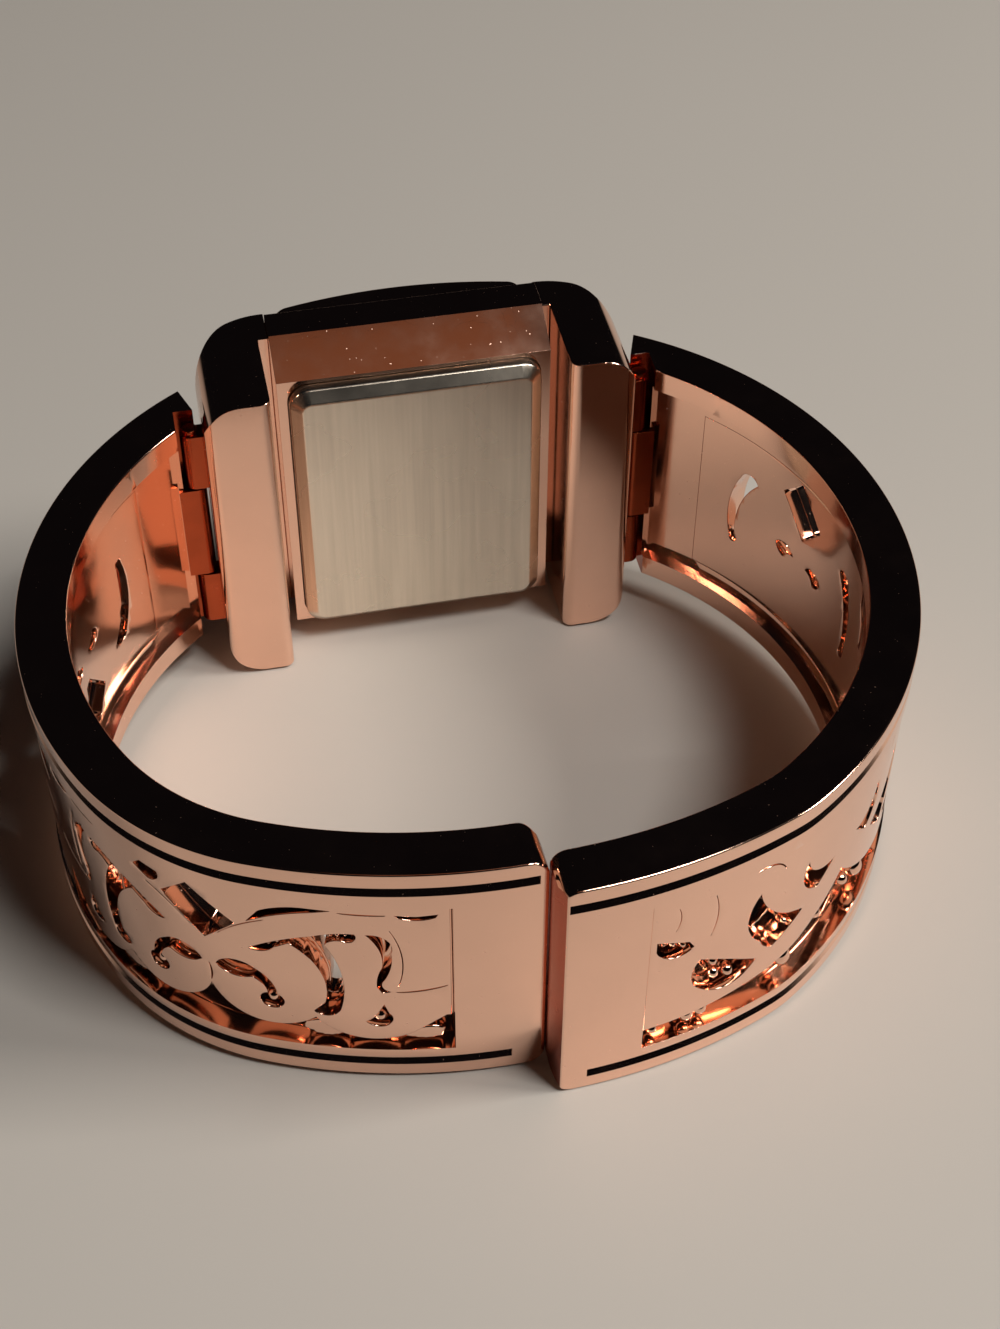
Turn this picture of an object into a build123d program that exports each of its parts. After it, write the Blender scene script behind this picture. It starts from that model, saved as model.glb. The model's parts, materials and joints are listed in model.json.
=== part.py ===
from build123d import *
import os
from math import asin, cos, degrees, radians, sin

# A sprung bangle watch that lies on its side edge.
# Z is the wrist's axis, the watch head is at +Y and the open gap at -Y, all in millimetres.
# The origin is under the middle of the bangle, on the plane that the head rests on.

# Overall sizes
head_height = 29.4
bar_step = 0.7
arm_height = 22.0
arm_thickness = 3.6
gap_width = 0.3

# One overrun serves every cut, one clearance every fixed fit and one gap every running fit
overrun = 1.0
fit_clearance = 0.1
running_clearance = 0.05
moving_clearance = 0.3
edge_break = 0.35

# Arm curve, seen along the wrist's axis, as three tangent arcs from the gap to the hinge
front_radius = 42.5
side_radius = 29.7
side_end_angle = 145.2
left_corner_radius = 20.0
left_corner_angles = (24.0, 62.5)
right_corner_radius = 12.0
right_corner_angles = (22.6, 33.0)
end_edge_radius = 0.5
end_corner_radius = 1.6
end_elevation_radius = 1.3

# Rails, grooves, window and inner recess of an arm
upper_rail = 3.5
lower_rail = 3.0
lip_width = 1.25
groove_width = 0.85
groove_depth = 0.6
upper_groove_stop = 1.2
lower_groove_stop = 2.3
gap_plate = 6.2
hinge_plate = 7.2
rim_width = 2.0
rim_end = 2.2
recess_depth = 1.0
panel_inset = 0.15
ditch_depth = 1.3
tip_width = 0.4

# Hinges
hinge_x = 17.8
knuckle_radius = 0.8
knuckle_gap = 0.15
middle_knuckle = 8.9
knuckle_inset = 1.2
pin_radius = 0.35
pin_head_radius = 0.6
pin_head_length = 0.4
arm_end_x = 19.1
arm_end_depth = 3.15
arm_end_clear = 1.05
arm_end_gap = 0.5
arm_end_angle = 19.0
leaf_thickness = 0.25
leaf_width = 2.0
leaf_length = 8.4
leaf_rise = 0.42
leaf_pocket_depth = 0.8

# Side bars
bar_outer_x = 16.85
bar_inner_reach = 3.2
bar_shoulder_reach = 3.3
bar_front_reach = 8.15
bar_groove = 0.8
bar_foot = 4.9
bar_corner = 3.0
bar_nose_radius = 0.8
shoulder_bulge = 1.45

# Case
case_width = 21.6
case_side_wall = 1.9
case_end_wall = 3.7
case_rim_reach = 0.8
case_front_reach = 7.4
case_back_slope = 2.0
case_back_slope_depth = 3.4
cavity_corner = 1.2
back_seat_depth = 1.4
dial_side_gap = 0.4
dial_ledge = 0.4
dial_corner = 0.8
dial_thickness = 0.4
dial_level = 6.4

# Bezel and crystal
bezel_step = 0.7
bezel_reach = 10.3
bezel_crown = 1.3
bezel_edge = 0.7
bezel_corner = 1.2
bezel_side_band = 2.1
bezel_end_band = 3.0
glass_thickness = 1.2
glass_level = 8.2
glass_corner = 0.9
gasket_thickness = 0.4
gasket_width = 0.7
sight_lip = 0.6
sight_corner = 0.5

# Case back
back_side_margin = 0.85
back_end_margin = 2.4
back_corner = 1.6
back_bevel = 0.9
back_proud = 0.7
back_plate = 0.8
back_skirt = 0.8
back_seal_thickness = 0.4

# Crown, stem and tube
crown_radius = 2.0
crown_length = 1.4
crown_cap = 0.35
crown_flutes = 24
crown_flute_width = 0.3
crown_lift = 0.3
crown_reach = 4.2
crown_notch_width = 5.2
crown_notch_depth = 1.9
tube_radius = 0.85
tube_stand = 1.1
stem_radius = 0.45
stem_reach = 1.75
stem_groove = 0.5
stem_groove_radius = 0.28
stem_groove_inset = 0.9
lever_thickness = 0.25
lever_width = 2.2
lever_height = 1.4
crown_seal_width = 0.4
crown_seal_thickness = 0.35

# Movement and its holder, by levels above the hinge line
holder_bottom = 0.4
holder_top = 6.3
movement_width = 13.0
movement_height = 15.6
movement_corner = 1.2
plate_level = 5.0
plate_thickness = 0.7
bridge_level = 3.0
bridge_thickness = 0.4
pillar_radius = 0.7
pillar_sides = 6
pinion_leaves = 8
pillar_inset = 1.2
wheel_gap = 0.04
wheel_windows = 4
wheel_window_share = 0.4
wheel_window_reach_share = 0.5
arbor_radius = 0.3
arbor_end_clear = 0.05
centre_wheel_radius = 3.0
centre_wheel_level = 4.75
train_thickness = 0.2
third_pinion_radius = 0.5
third_wheel_radius = 2.4
third_wheel_level = 4.4
rotor_pinion_radius = 0.4
rotor_angle = 20.0
rotor_radius = 0.8
rotor_length = 0.5
rotor_level = 3.65
cannon_radius = 0.9
minute_wheel_radius = 2.7
minute_pinion_radius = 0.72
hour_wheel_radius = 2.88
minute_wheel_level = 5.8
hour_wheel_level = 6.1
hour_tube_wall = 0.2
battery_radius = 3.4
battery_thickness = 2.1
battery_inset = 0.5
clamp_thickness = 0.2
clamp_width = 1.6
coil_radius = 0.62
coil_length = 7.0
coil_bore = 0.4
coil_inset = 1.5
stator_thickness = 0.3
stator_level = 3.95
stator_margin = 0.6
core_width = 0.5
board_thickness = 0.3
board_width = 4.8
board_height = 11.0
board_inset = 0.3
screw_radius = 0.35
screw_head_radius = 0.6
screw_head = 0.25
screw_sides = 8

# Hands and markers
hand_thickness = 0.15
hour_hand_level = 0.35
minute_hand_level = 0.75
hour_hand_length = 4.6
minute_hand_length = 7.0
hand_width = 0.75
hand_tail = 1.4
marker_thickness = 0.2
marker_width = 0.45
marker_length = 1.5
marker_inset = 1.5
hour_count = 12

# Scroll pattern, in shares of the window's height, along the arm and up it from a springing point
leaf_hole_shares = ((0.406, 0.303), (0.600, 0.065), (0.561, -0.206), (0.500, 0.077))
outer_hole_shares = ((0.710, 0.335), (0.835, 0.187), (0.794, -0.058), (0.770, 0.181))
comma_hole_shares = ((0.110, 0.060), (0.335, -0.010), (0.284, -0.225), (0.240, -0.060))
diamond_hole_shares = ((-0.084, 0.470), (0.155, 0.316), (0.013, 0.181), (-0.168, 0.361))
first_scallop_shares = ((0.0, -0.170), (0.219, -0.355), (0.471, -0.290))
second_scallop_shares = ((0.471, -0.290), (0.710, -0.406), (0.930, -0.335))
scallop_corner_share = (1.045, -0.226)
springing_shares = (0.303, 0.745)

os.makedirs("parts", exist_ok=True)

# Heights above the rest plane
middle_z = head_height / 2
arm_bottom = middle_z - arm_height / 2
arm_top = middle_z + arm_height / 2

# Widths and heights of what lies inside the head, each from what carries it
bar_height = head_height - 2 * bar_step
cavity_width = case_width - 2 * case_side_wall
cavity_height = head_height - 2 * case_end_wall
back_width = case_width - 2 * back_side_margin
back_height = head_height - 2 * back_end_margin
back_seat_width = back_width + 2 * fit_clearance
back_seat_height = back_height + 2 * fit_clearance
dial_width = cavity_width - 2 * dial_side_gap
dial_height = cavity_height + 2 * dial_ledge
bezel_width = case_width - 2 * bezel_step
bezel_height = head_height - 2 * bezel_step
glass_width = bezel_width - 2 * bezel_side_band
glass_height = bezel_height - 2 * bezel_end_band
sight_width = glass_width - 2 * sight_lip
sight_height = glass_height - 2 * sight_lip

# Heights of the arms' windows and of the hinges' knuckles
window_bottom = arm_bottom + lower_rail
window_top = arm_top - upper_rail
window_height = window_top - window_bottom
knuckle_low = middle_z - middle_knuckle / 2
knuckle_high = middle_z + middle_knuckle / 2
hinge_bottom = arm_bottom + knuckle_inset
hinge_top = arm_top - knuckle_inset


def outward(angle):
    """The horizontal direction at an angle from -Y towards +X, in degrees."""
    return Vector(sin(radians(angle)), -cos(radians(angle)))


def arm_arcs(corner_radius, corner_angles, end_y):
    """Centre, radius, first and last angle of an arm's outer arcs, from the gap to the hinge."""
    end_point = Vector(arm_end_x, end_y)
    side_centre = end_point - outward(side_end_angle) * side_radius
    corner_centre = side_centre + outward(corner_angles[1]) * (side_radius - corner_radius)
    front_centre = corner_centre - outward(corner_angles[0]) * (front_radius - corner_radius)
    first_angle = degrees(asin((gap_width / 2 - front_centre.X) / front_radius))
    return (
        (front_centre, front_radius, first_angle, corner_angles[0]),
        (corner_centre, corner_radius, corner_angles[0], corner_angles[1]),
        (side_centre, side_radius, corner_angles[1], side_end_angle),
    )


def front_of(arcs):
    """How far towards -Y an arm's outer curve reaches."""
    centre, radius, first, last = arcs[0]
    return centre.Y - radius * cos(radians(max(first, 0)))


# The hinge line lies where the whole bangle is centred on the origin
arm_reach = -front_of(arm_arcs(right_corner_radius, right_corner_angles, arm_end_depth))
hinge_y = (arm_reach - bezel_reach) / 2
left_arcs = arm_arcs(left_corner_radius, left_corner_angles, hinge_y + arm_end_depth)
right_arcs = arm_arcs(right_corner_radius, right_corner_angles, hinge_y + arm_end_depth)


def curve_length(arcs):
    """The length of an arm's outer curve."""
    return sum(radius * radians(last - first) for centre, radius, first, last in arcs)


def arc_at(arcs, distance):
    """The arc and the angle on it that lie a distance along an arm's outer curve."""
    for centre, radius, first, last in arcs:
        length = radius * radians(last - first)
        if distance <= length or (centre, radius) == arcs[-1][:2]:
            return centre, radius, first + degrees(distance / radius)
        distance -= length


def tangent_plane(arcs, distance):
    """The plane that touches an arm's outer face, with X along the arm and Y up."""
    centre, radius, angle = arc_at(arcs, distance)
    normal = outward(angle)
    start = centre + normal * radius + Vector(0, 0, (window_bottom + window_top) / 2)
    return Plane(origin=start, x_dir=Vector(-normal.Y, normal.X, 0), z_dir=normal)


def band_pieces(arcs, start, stop):
    """The arcs of an arm's outer curve between two distances along it."""
    pieces = []
    passed = 0.0
    for index, (centre, radius, first, last) in enumerate(arcs):
        length = radius * radians(last - first)
        begin = start - passed if index == 0 else max(start - passed, 0)
        finish = stop - passed if index == len(arcs) - 1 else min(stop - passed, length)
        if finish > begin:
            turns = (degrees(begin / radius), degrees(finish / radius))
            pieces.append((centre, radius, first + turns[0], first + turns[1]))
        passed += length
    return pieces


def band_lines(arcs, near, far, start, stop):
    """Draws the strip between two depths under an arm's outer face and two distances along it."""
    pieces = band_pieces(arcs, start, stop)
    for centre, radius, first, last in pieces:
        for depth in (near, far):
            angles = (first, (first + last) / 2, last)
            ThreePointArc(*[centre + outward(angle) * (radius - depth) for angle in angles])
    ends = ((pieces[0][0], pieces[0][1], pieces[0][2]), (pieces[-1][0], pieces[-1][1], pieces[-1][3]))
    for centre, radius, angle in ends:
        Line(centre + outward(angle) * (radius - near), centre + outward(angle) * (radius - far))


def band(arcs, near, far, start, stop, low, high):
    """A curved strip between two depths, two distances along the arm and two heights."""
    with BuildPart() as strip:
        with BuildSketch(Plane.XY.offset(low)):
            with BuildLine():
                band_lines(arcs, near, far, start, stop)
            make_face()
        extrude(amount=high - low)
    return strip.part


def leaf_lines(shares, scale_x, scale_y):
    """Draws a leaf with blunt tips: its tip, outer middle, other tip and inner middle."""
    tip, outer_middle, other_tip, inner_middle = [Vector(x * scale_x, y * scale_y) for x, y in shares]
    half = (outer_middle - inner_middle).normalized() * (tip_width / 2)
    ThreePointArc(tip + half, outer_middle, other_tip + half)
    Line(other_tip + half, other_tip - half)
    ThreePointArc(other_tip - half, inner_middle, tip - half)
    Line(tip - half, tip + half)


def scroll_outline(plane, draw):
    """A solid through an arm's wall, whose outline draw makes on a plane that touches the arm."""
    with BuildPart() as cutter:
        with BuildSketch(plane):
            with BuildLine():
                draw()
            make_face()
        extrude(amount=arm_thickness + overrun, both=True)
    return cutter.part


def scroll_places(arcs):
    """Springing point, direction along the arm, upright or not, and reach of each arch of the scroll."""
    total = curve_length(arcs)
    places = []
    for turn, share in zip((1, -1), springing_shares):
        for way in (-1, 1):
            start = total * share
            reach = start - gap_plate if way < 0 else total - hinge_plate - start
            places.append((start, way, turn, reach))
    return places


def scroll_cutters(arcs, upright):
    """The through holes of the scroll pattern of one arm."""
    holes = []
    for start, way, turn, reach in scroll_places(arcs):
        for shares in (leaf_hole_shares, outer_hole_shares, comma_hole_shares, diamond_hole_shares):
            middle = sum(x for x, y in shares) / len(shares)
            if max(x for x, y in shares) * window_height > reach:
                continue
            if shares is diamond_hole_shares and way > 0:
                continue
            plane = tangent_plane(arcs, start + way * middle * window_height)
            placed = [(x - middle, y) for x, y in shares]
            scale_x = way * window_height
            scale_y = turn * upright * window_height
            if shares is diamond_hole_shares:
                points = [(x * scale_x, y * scale_y) for x, y in placed]
                holes.append(scroll_outline(plane, lambda: Polyline(*points, close=True)))
            else:
                holes.append(scroll_outline(plane, lambda: leaf_lines(placed, scale_x, scale_y)))
    return holes


def scallop_cutters(arcs, upright):
    """The ditch between the lobes of the scroll and the rail that they stand over."""
    ditches = []
    for start, way, turn, reach in scroll_places(arcs):
        for shares, corner in ((first_scallop_shares, None), (second_scallop_shares, scallop_corner_share)):
            if shares[1][0] * window_height > reach:
                continue
            middle = shares[1][0]
            plane = tangent_plane(arcs, start + way * middle * window_height)
            scale_x = way * window_height
            scale_y = turn * upright * window_height
            points = [((x - middle) * scale_x, y * scale_y) for x, y in shares]
            foot = -0.5 * scale_y - turn * upright * overrun
            last = points[-1]
            if corner:
                last = ((corner[0] - middle) * scale_x, corner[1] * scale_y)

            def draw():
                ThreePointArc(*points)
                if corner:
                    Line(points[-1], last)
                Polyline(last, (last[0], foot), (points[0][0], foot), points[0])

            ditches.append(scroll_outline(plane, draw))
    return ditches


def scroll_panel(arcs, side):
    """The pierced scroll panel that closes an arm's window."""
    total = curve_length(arcs)
    blank = band(
        arcs, panel_inset, arm_thickness - recess_depth,
        gap_plate, total - hinge_plate, window_bottom, window_top,
    )
    ditch_layer = band(
        arcs, -overrun, panel_inset + ditch_depth, 0, total, window_bottom - overrun, window_top + overrun
    )
    with BuildPart() as ditch_cut:
        add(scallop_cutters(arcs, -side))
        add(ditch_layer, mode=Mode.INTERSECT)
    with BuildPart() as panel:
        add(blank)
        add(scroll_cutters(arcs, -side), mode=Mode.SUBTRACT)
        add(ditch_cut.part, mode=Mode.SUBTRACT)
        if side < 0:
            mirror(about=Plane.YZ, mode=Mode.REPLACE)
    return panel.part


def arm_frame(arcs, side):
    """The frame of one arm: rails, gap plate, hinge plate and middle knuckle."""
    total = curve_length(arcs)
    recess = band(
        arcs, arm_thickness - recess_depth, arm_thickness + overrun,
        gap_plate / 2, total - rim_end, arm_bottom + rim_width, arm_top - rim_width,
    )
    window = band(
        arcs, -overrun, arm_thickness + overrun, gap_plate, total - hinge_plate, window_bottom, window_top
    )
    upper_groove = band(
        arcs, -overrun, groove_depth, upper_groove_stop, total + arm_thickness,
        arm_top - lip_width - groove_width, arm_top - lip_width,
    )
    lower_groove = band(
        arcs, -overrun, groove_depth, lower_groove_stop, total + arm_thickness,
        arm_bottom + lip_width, arm_bottom + lip_width + groove_width,
    )
    end_foot = Vector(bar_outer_x + arm_end_gap, hinge_y + knuckle_radius + moving_clearance)
    end_slope = Vector(sin(radians(arm_end_angle)), cos(radians(arm_end_angle))) * arm_thickness * 3
    with BuildPart() as frame:
        with BuildSketch(Plane.XY.offset(arm_bottom)) as outline:
            with BuildLine():
                band_lines(arcs, 0, arm_thickness, 0, total + arm_thickness)
            make_face()
            fillet(outline.vertices().sort_by(Axis.X)[:2].sort_by(Axis.Y)[0], end_edge_radius)
            fillet(outline.vertices().sort_by(Axis.X)[:2].sort_by(Axis.Y)[-1], end_corner_radius)
            with BuildLine():
                end_top = end_foot + end_slope
                Polyline(end_foot, end_top, (0, end_top.Y), (0, end_foot.Y), close=True)
            make_face(mode=Mode.SUBTRACT)
            with Locations((hinge_x + arm_end_clear, end_foot.Y)):
                Rectangle(side_radius, arm_thickness * 2, align=(Align.MAX, Align.MAX), mode=Mode.SUBTRACT)
        extrude(amount=arm_height)
        with BuildSketch(Plane.XZ) as elevation:
            with Locations((gap_width / 2, middle_z)):
                Rectangle(head_height * 2, arm_height, align=(Align.MIN, Align.CENTER))
            fillet(elevation.vertices().sort_by(Axis.X)[:2], end_elevation_radius)
        extrude(amount=head_height * 2, both=True, mode=Mode.INTERSECT)
        add((recess, window, upper_groove, lower_groove), mode=Mode.SUBTRACT)
        with BuildSketch(Plane.XY.offset(knuckle_low)):
            with Locations((hinge_x, hinge_y)):
                Circle(knuckle_radius)
                Rectangle(arm_end_clear + edge_break, knuckle_radius * 2, align=(Align.MIN, Align.CENTER))
        extrude(amount=middle_knuckle)
        with Locations((hinge_x, hinge_y, middle_z)):
            Cylinder(pin_radius + running_clearance, middle_knuckle + overrun, mode=Mode.SUBTRACT)
        if side < 0:
            mirror(about=Plane.YZ, mode=Mode.REPLACE)
    return frame.part


# Levels across the head, measured from the hinge line towards the crystal
case_half = case_width / 2
seat_floor = case_rim_reach + back_seat_depth
dial_top = dial_level + dial_thickness
glass_top = glass_level + glass_thickness
gasket_level = glass_level - gasket_thickness
hour_hand_bottom = dial_top + hour_hand_level
minute_hand_bottom = dial_top + minute_hand_level
crown_bottom = crown_lift
crown_bore = tube_radius + running_clearance + crown_seal_width
tube_bottom = crown_notch_depth - tube_stand
stem_bottom = crown_bottom + crown_cap
stem_top = middle_z - movement_height / 2 + stem_reach
groove_middle = stem_top - stem_groove_inset
cavity_bottom = middle_z - cavity_height / 2
battery_level = bridge_level - battery_thickness


def head_plane(level):
    """The plane across the head at a level, with X towards the left, Y up and Z outwards."""
    return Plane(origin=(0, hinge_y + level, middle_z), x_dir=(-1, 0, 0), z_dir=(0, 1, 0))


def slab(level, thickness, width, height, corner):
    """A flat plate with cut corners across the head."""
    with BuildPart() as plate:
        with BuildSketch(head_plane(level)) as outline:
            Rectangle(width, height)
            chamfer(outline.vertices(), corner)
        extrude(amount=thickness)
    return plate.part


def ring(level, thickness, width, height, corner, wall):
    """A flat rectangular ring across the head, one wall wide all round."""
    with BuildPart() as band_ring:
        add(slab(level, thickness, width, height, corner))
        opening = slab(level, thickness, width - 2 * wall, height - 2 * wall, corner - wall / 2)
        add(opening, mode=Mode.SUBTRACT)
    return band_ring.part


def disc(level, thickness, radius, place=(0, 0), bore=0):
    """A round plate or post across the head, with an optional bore."""
    with BuildPart() as plate:
        with BuildSketch(head_plane(level)):
            with Locations(place):
                Circle(radius)
                if bore:
                    Circle(bore, mode=Mode.SUBTRACT)
        extrude(amount=thickness)
    return plate.part


def post(level, thickness, radius, sides, place):
    """A short post with flats, across the head."""
    with BuildPart() as body:
        with BuildSketch(head_plane(level)):
            with Locations(place):
                RegularPolygon(radius, sides)
        extrude(amount=thickness)
    return body.part


def wheel(level, radius, place=(0, 0), bore=0):
    """A train wheel with windows between its spokes, and an optional bore."""
    with BuildPart() as body:
        add(disc(level, train_thickness, radius, place, bore))
        with BuildSketch(head_plane(level)):
            with Locations(place):
                with PolarLocations(radius * wheel_window_reach_share, wheel_windows):
                    Rectangle(radius * wheel_window_share, radius * wheel_window_share)
        extrude(amount=train_thickness, mode=Mode.SUBTRACT)
    return body.part


# Case body, with the seats of the back and the dial and the notch of the crown
with BuildPart() as case_body:
    with BuildSketch(Plane.YZ):
        with BuildLine():
            Polyline(
                (hinge_y + case_rim_reach, case_back_slope),
                (hinge_y + case_rim_reach + case_back_slope_depth, 0),
                (hinge_y + case_front_reach, 0),
                (hinge_y + case_front_reach, head_height),
                (hinge_y + case_rim_reach + case_back_slope_depth, head_height),
                (hinge_y + case_rim_reach, head_height - case_back_slope),
                close=True,
            )
        make_face()
    extrude(amount=case_half, both=True)
    chamfer(case_body.faces().sort_by(Axis.Y)[-1].outer_wire().edges(), edge_break)
    with BuildSketch(head_plane(case_rim_reach)):
        RectangleRounded(back_seat_width, back_seat_height, back_corner + fit_clearance)
    extrude(amount=back_seat_depth, mode=Mode.SUBTRACT)
    for level, height, corner in (
        (case_rim_reach, cavity_height, cavity_corner),
        (dial_level, dial_height + 2 * fit_clearance, dial_corner),
    ):
        add(slab(level, case_front_reach - level, cavity_width, height, corner), mode=Mode.SUBTRACT)
    with BuildSketch(Plane.XY):
        with Locations((0, hinge_y + crown_reach)):
            Circle(crown_notch_width / 2)
            Rectangle(crown_notch_width, crown_reach, align=(Align.CENTER, Align.MAX))
    extrude(amount=crown_notch_depth, mode=Mode.SUBTRACT)
    with BuildSketch(Plane.XY):
        with Locations((0, hinge_y + crown_reach)):
            Circle(tube_radius)
    extrude(amount=cavity_bottom + overrun, mode=Mode.SUBTRACT)
case_body.part.label = "case_body"
export_step(case_body.part, "parts/case_body.step")

# Bezel, crowned across its front
bezel_side_level = bezel_reach - bezel_crown
with BuildPart() as bezel:
    with BuildSketch(Plane.XY.offset(middle_z)):
        with BuildLine():
            Polyline(
                (bezel_width / 2, hinge_y + bezel_side_level),
                (bezel_width / 2, hinge_y + case_front_reach),
                (-bezel_width / 2, hinge_y + case_front_reach),
                (-bezel_width / 2, hinge_y + bezel_side_level),
            )
            ThreePointArc(
                (-bezel_width / 2, hinge_y + bezel_side_level),
                (0, hinge_y + bezel_reach),
                (bezel_width / 2, hinge_y + bezel_side_level),
            )
        make_face()
    extrude(amount=bezel_height / 2, both=True)
    fillet(bezel.edges().filter_by(Axis.Y), bezel_corner)
    chamfer(bezel.faces().sort_by(Axis.Y)[-1].outer_wire().edges(), bezel_edge)
    for top, width, height, corner in (
        (glass_top, glass_width + 2 * fit_clearance, glass_height + 2 * fit_clearance, glass_corner),
        (bezel_reach + overrun, sight_width, sight_height, sight_corner),
    ):
        add(slab(case_front_reach, top - case_front_reach, width, height, corner), mode=Mode.SUBTRACT)
bezel.part.label = "bezel"
export_step(bezel.part, "parts/bezel.step")

# Crystal with cut corners, and what holds it off the dial
with BuildPart() as crystal:
    add(slab(glass_level, glass_thickness, glass_width, glass_height, glass_corner))
crystal.part.label = "crystal"
export_step(crystal.part, "parts/crystal.step")

with BuildPart() as crystal_gasket:
    add(ring(gasket_level, gasket_thickness, glass_width, glass_height, glass_corner, gasket_width))
crystal_gasket.part.label = "crystal_gasket"
export_step(crystal_gasket.part, "parts/crystal_gasket.step")

with BuildPart() as dial_flange:
    add(ring(dial_top, gasket_level - dial_top, glass_width, glass_height, glass_corner, sight_lip))
dial_flange.part.label = "dial_flange"
export_step(dial_flange.part, "parts/dial_flange.step")

# Dial, with the hole of the hands, and the applied batons of the hours
with BuildPart() as dial:
    add(slab(dial_level, dial_thickness, dial_width, dial_height, dial_corner))
    add(
        disc(dial_level, dial_thickness, arbor_radius + hour_tube_wall + 3 * running_clearance),
        mode=Mode.SUBTRACT,
    )
dial.part.label = "dial"
export_step(dial.part, "parts/dial.step")

marker_half_width = sight_width / 2 - marker_inset
marker_half_height = sight_height / 2 - marker_inset
with BuildPart() as hour_markers:
    with BuildSketch(head_plane(dial_top)):
        for hour in range(hour_count):
            turn = radians(360 / hour_count * hour)
            across = marker_half_height * abs(sin(turn))
            along = marker_half_width * abs(cos(turn))
            reach = marker_half_width * marker_half_height / max(across, along)
            with Locations(Location((-reach * sin(turn), reach * cos(turn)), degrees(turn))):
                Rectangle(marker_width, marker_length, align=(Align.CENTER, Align.MAX))
    extrude(amount=marker_thickness)
hour_markers.part.label = "hour_markers"
export_step(hour_markers.part, "parts/hour_markers.step")

# Hands: a slim pointed blade with a short tail on a round hub


def hand(bottom, length, hub, bore):
    """A hand that points up the wrist's axis at rest."""
    with BuildPart() as blade:
        with BuildSketch(head_plane(bottom)):
            with BuildLine():
                Polyline(
                    (hand_width / 4, length), (hand_width / 2, 0), (hand_width / 3, -hand_tail),
                    (-hand_width / 3, -hand_tail), (-hand_width / 2, 0), (-hand_width / 4, length),
                    close=True,
                )
            make_face()
            Circle(hub)
            if bore:
                Circle(bore, mode=Mode.SUBTRACT)
        extrude(amount=hand_thickness)
    return blade.part


hour_bore = arbor_radius + running_clearance
hour_tube_radius = hour_bore + hour_tube_wall
with BuildPart() as hour_hand:
    add(hand(hour_hand_bottom, hour_hand_length, hour_tube_radius + hour_tube_wall, hour_bore))
hour_hand.part.label = "hour_hand"
export_step(hour_hand.part, "parts/hour_hand.step")

with BuildPart() as minute_hand:
    add(hand(minute_hand_bottom, minute_hand_length, hour_tube_radius, 0))
minute_hand.part.label = "minute_hand"
export_step(minute_hand.part, "parts/minute_hand.step")

# Steel case back: a tray with a bevelled face, which snaps into its seat on a seal
with BuildPart() as case_back:
    with BuildSketch(head_plane(-back_proud)):
        RectangleRounded(back_width, back_height, back_corner)
    extrude(amount=back_proud + seat_floor - back_seal_thickness)
    chamfer(case_back.faces().sort_by(Axis.Y)[0].outer_wire().edges(), back_bevel * back_plate, back_bevel)
    tray_width = back_width - 2 * back_skirt
    tray_height = back_height - 2 * back_skirt
    add(
        slab(back_plate - back_proud, seat_floor, tray_width, tray_height, back_corner - back_skirt),
        mode=Mode.SUBTRACT,
    )
case_back.part.label = "case_back"
export_step(case_back.part, "parts/case_back.step")

with BuildPart() as case_back_gasket:
    seal_level = seat_floor - back_seal_thickness
    add(ring(seal_level, back_seal_thickness, back_width, back_height, back_corner, back_skirt))
case_back_gasket.part.label = "case_back_gasket"
export_step(case_back_gasket.part, "parts/case_back_gasket.step")


# Side bars with the outer knuckles of the hinges, their pins and their closing springs


def side_bar(side):
    """The bar beside the case that carries one hinge."""
    shoulder_foot = Vector(bar_outer_x, hinge_y + bar_shoulder_reach)
    shoulder_top = Vector(case_half, hinge_y + bar_front_reach)
    chord = shoulder_top - shoulder_foot
    crest = (shoulder_foot + shoulder_top) / 2 + Vector(chord.Y, -chord.X).normalized() * shoulder_bulge
    groove_x = case_half + bar_groove
    knuckle_root = hinge_x - bar_outer_x + bar_groove
    with BuildPart() as bar:
        with BuildSketch(Plane.XY.offset(middle_z)) as profile:
            with BuildLine():
                ThreePointArc(shoulder_foot, crest, shoulder_top)
                Polyline(
                    shoulder_top, (case_half, hinge_y + bar_foot),
                    (groove_x, hinge_y + bar_foot), (groove_x, hinge_y - bar_inner_reach),
                    (bar_outer_x, hinge_y - bar_inner_reach), shoulder_foot,
                )
            make_face()
            fillet(profile.vertices().group_by(Axis.Y)[0], bar_nose_radius)
        extrude(amount=bar_height / 2, both=True)
        with BuildSketch(Plane.XZ) as elevation:
            with Locations((bar_outer_x, middle_z)):
                Rectangle(bar_outer_x, bar_height, align=(Align.MAX, Align.CENTER))
            fillet(elevation.vertices().group_by(Axis.X)[-1], bar_corner)
        extrude(amount=2 * (hinge_y + bezel_reach), both=True, mode=Mode.INTERSECT)
        for low, high in (
            (hinge_bottom, knuckle_low - knuckle_gap),
            (knuckle_high + knuckle_gap, hinge_top),
        ):
            with BuildSketch(Plane.XY.offset(low)):
                with Locations((hinge_x, hinge_y)):
                    Circle(knuckle_radius)
                    Rectangle(knuckle_root, 2 * knuckle_radius, align=(Align.MAX, Align.CENTER))
                    Circle(pin_radius + running_clearance, mode=Mode.SUBTRACT)
            extrude(amount=high - low)
        with BuildSketch(Plane.YZ.offset(bar_outer_x)):
            with Locations((hinge_y, middle_z)):
                Rectangle(leaf_width + 2 * fit_clearance, leaf_length + 2 * fit_clearance)
        extrude(amount=-leaf_pocket_depth, mode=Mode.SUBTRACT)
        if side < 0:
            mirror(about=Plane.YZ, mode=Mode.REPLACE)
    return bar.part


def hinge_pin(side):
    """The pin of one hinge, with a small head at its upper end."""
    with BuildPart() as pin:
        for low, length, radius in (
            (hinge_bottom, hinge_top - hinge_bottom, pin_radius),
            (hinge_top, pin_head_length, pin_head_radius),
        ):
            with BuildSketch(Plane.XY.offset(low)):
                with Locations((side * hinge_x, hinge_y)):
                    Circle(radius)
            extrude(amount=length)
    return pin.part


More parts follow.
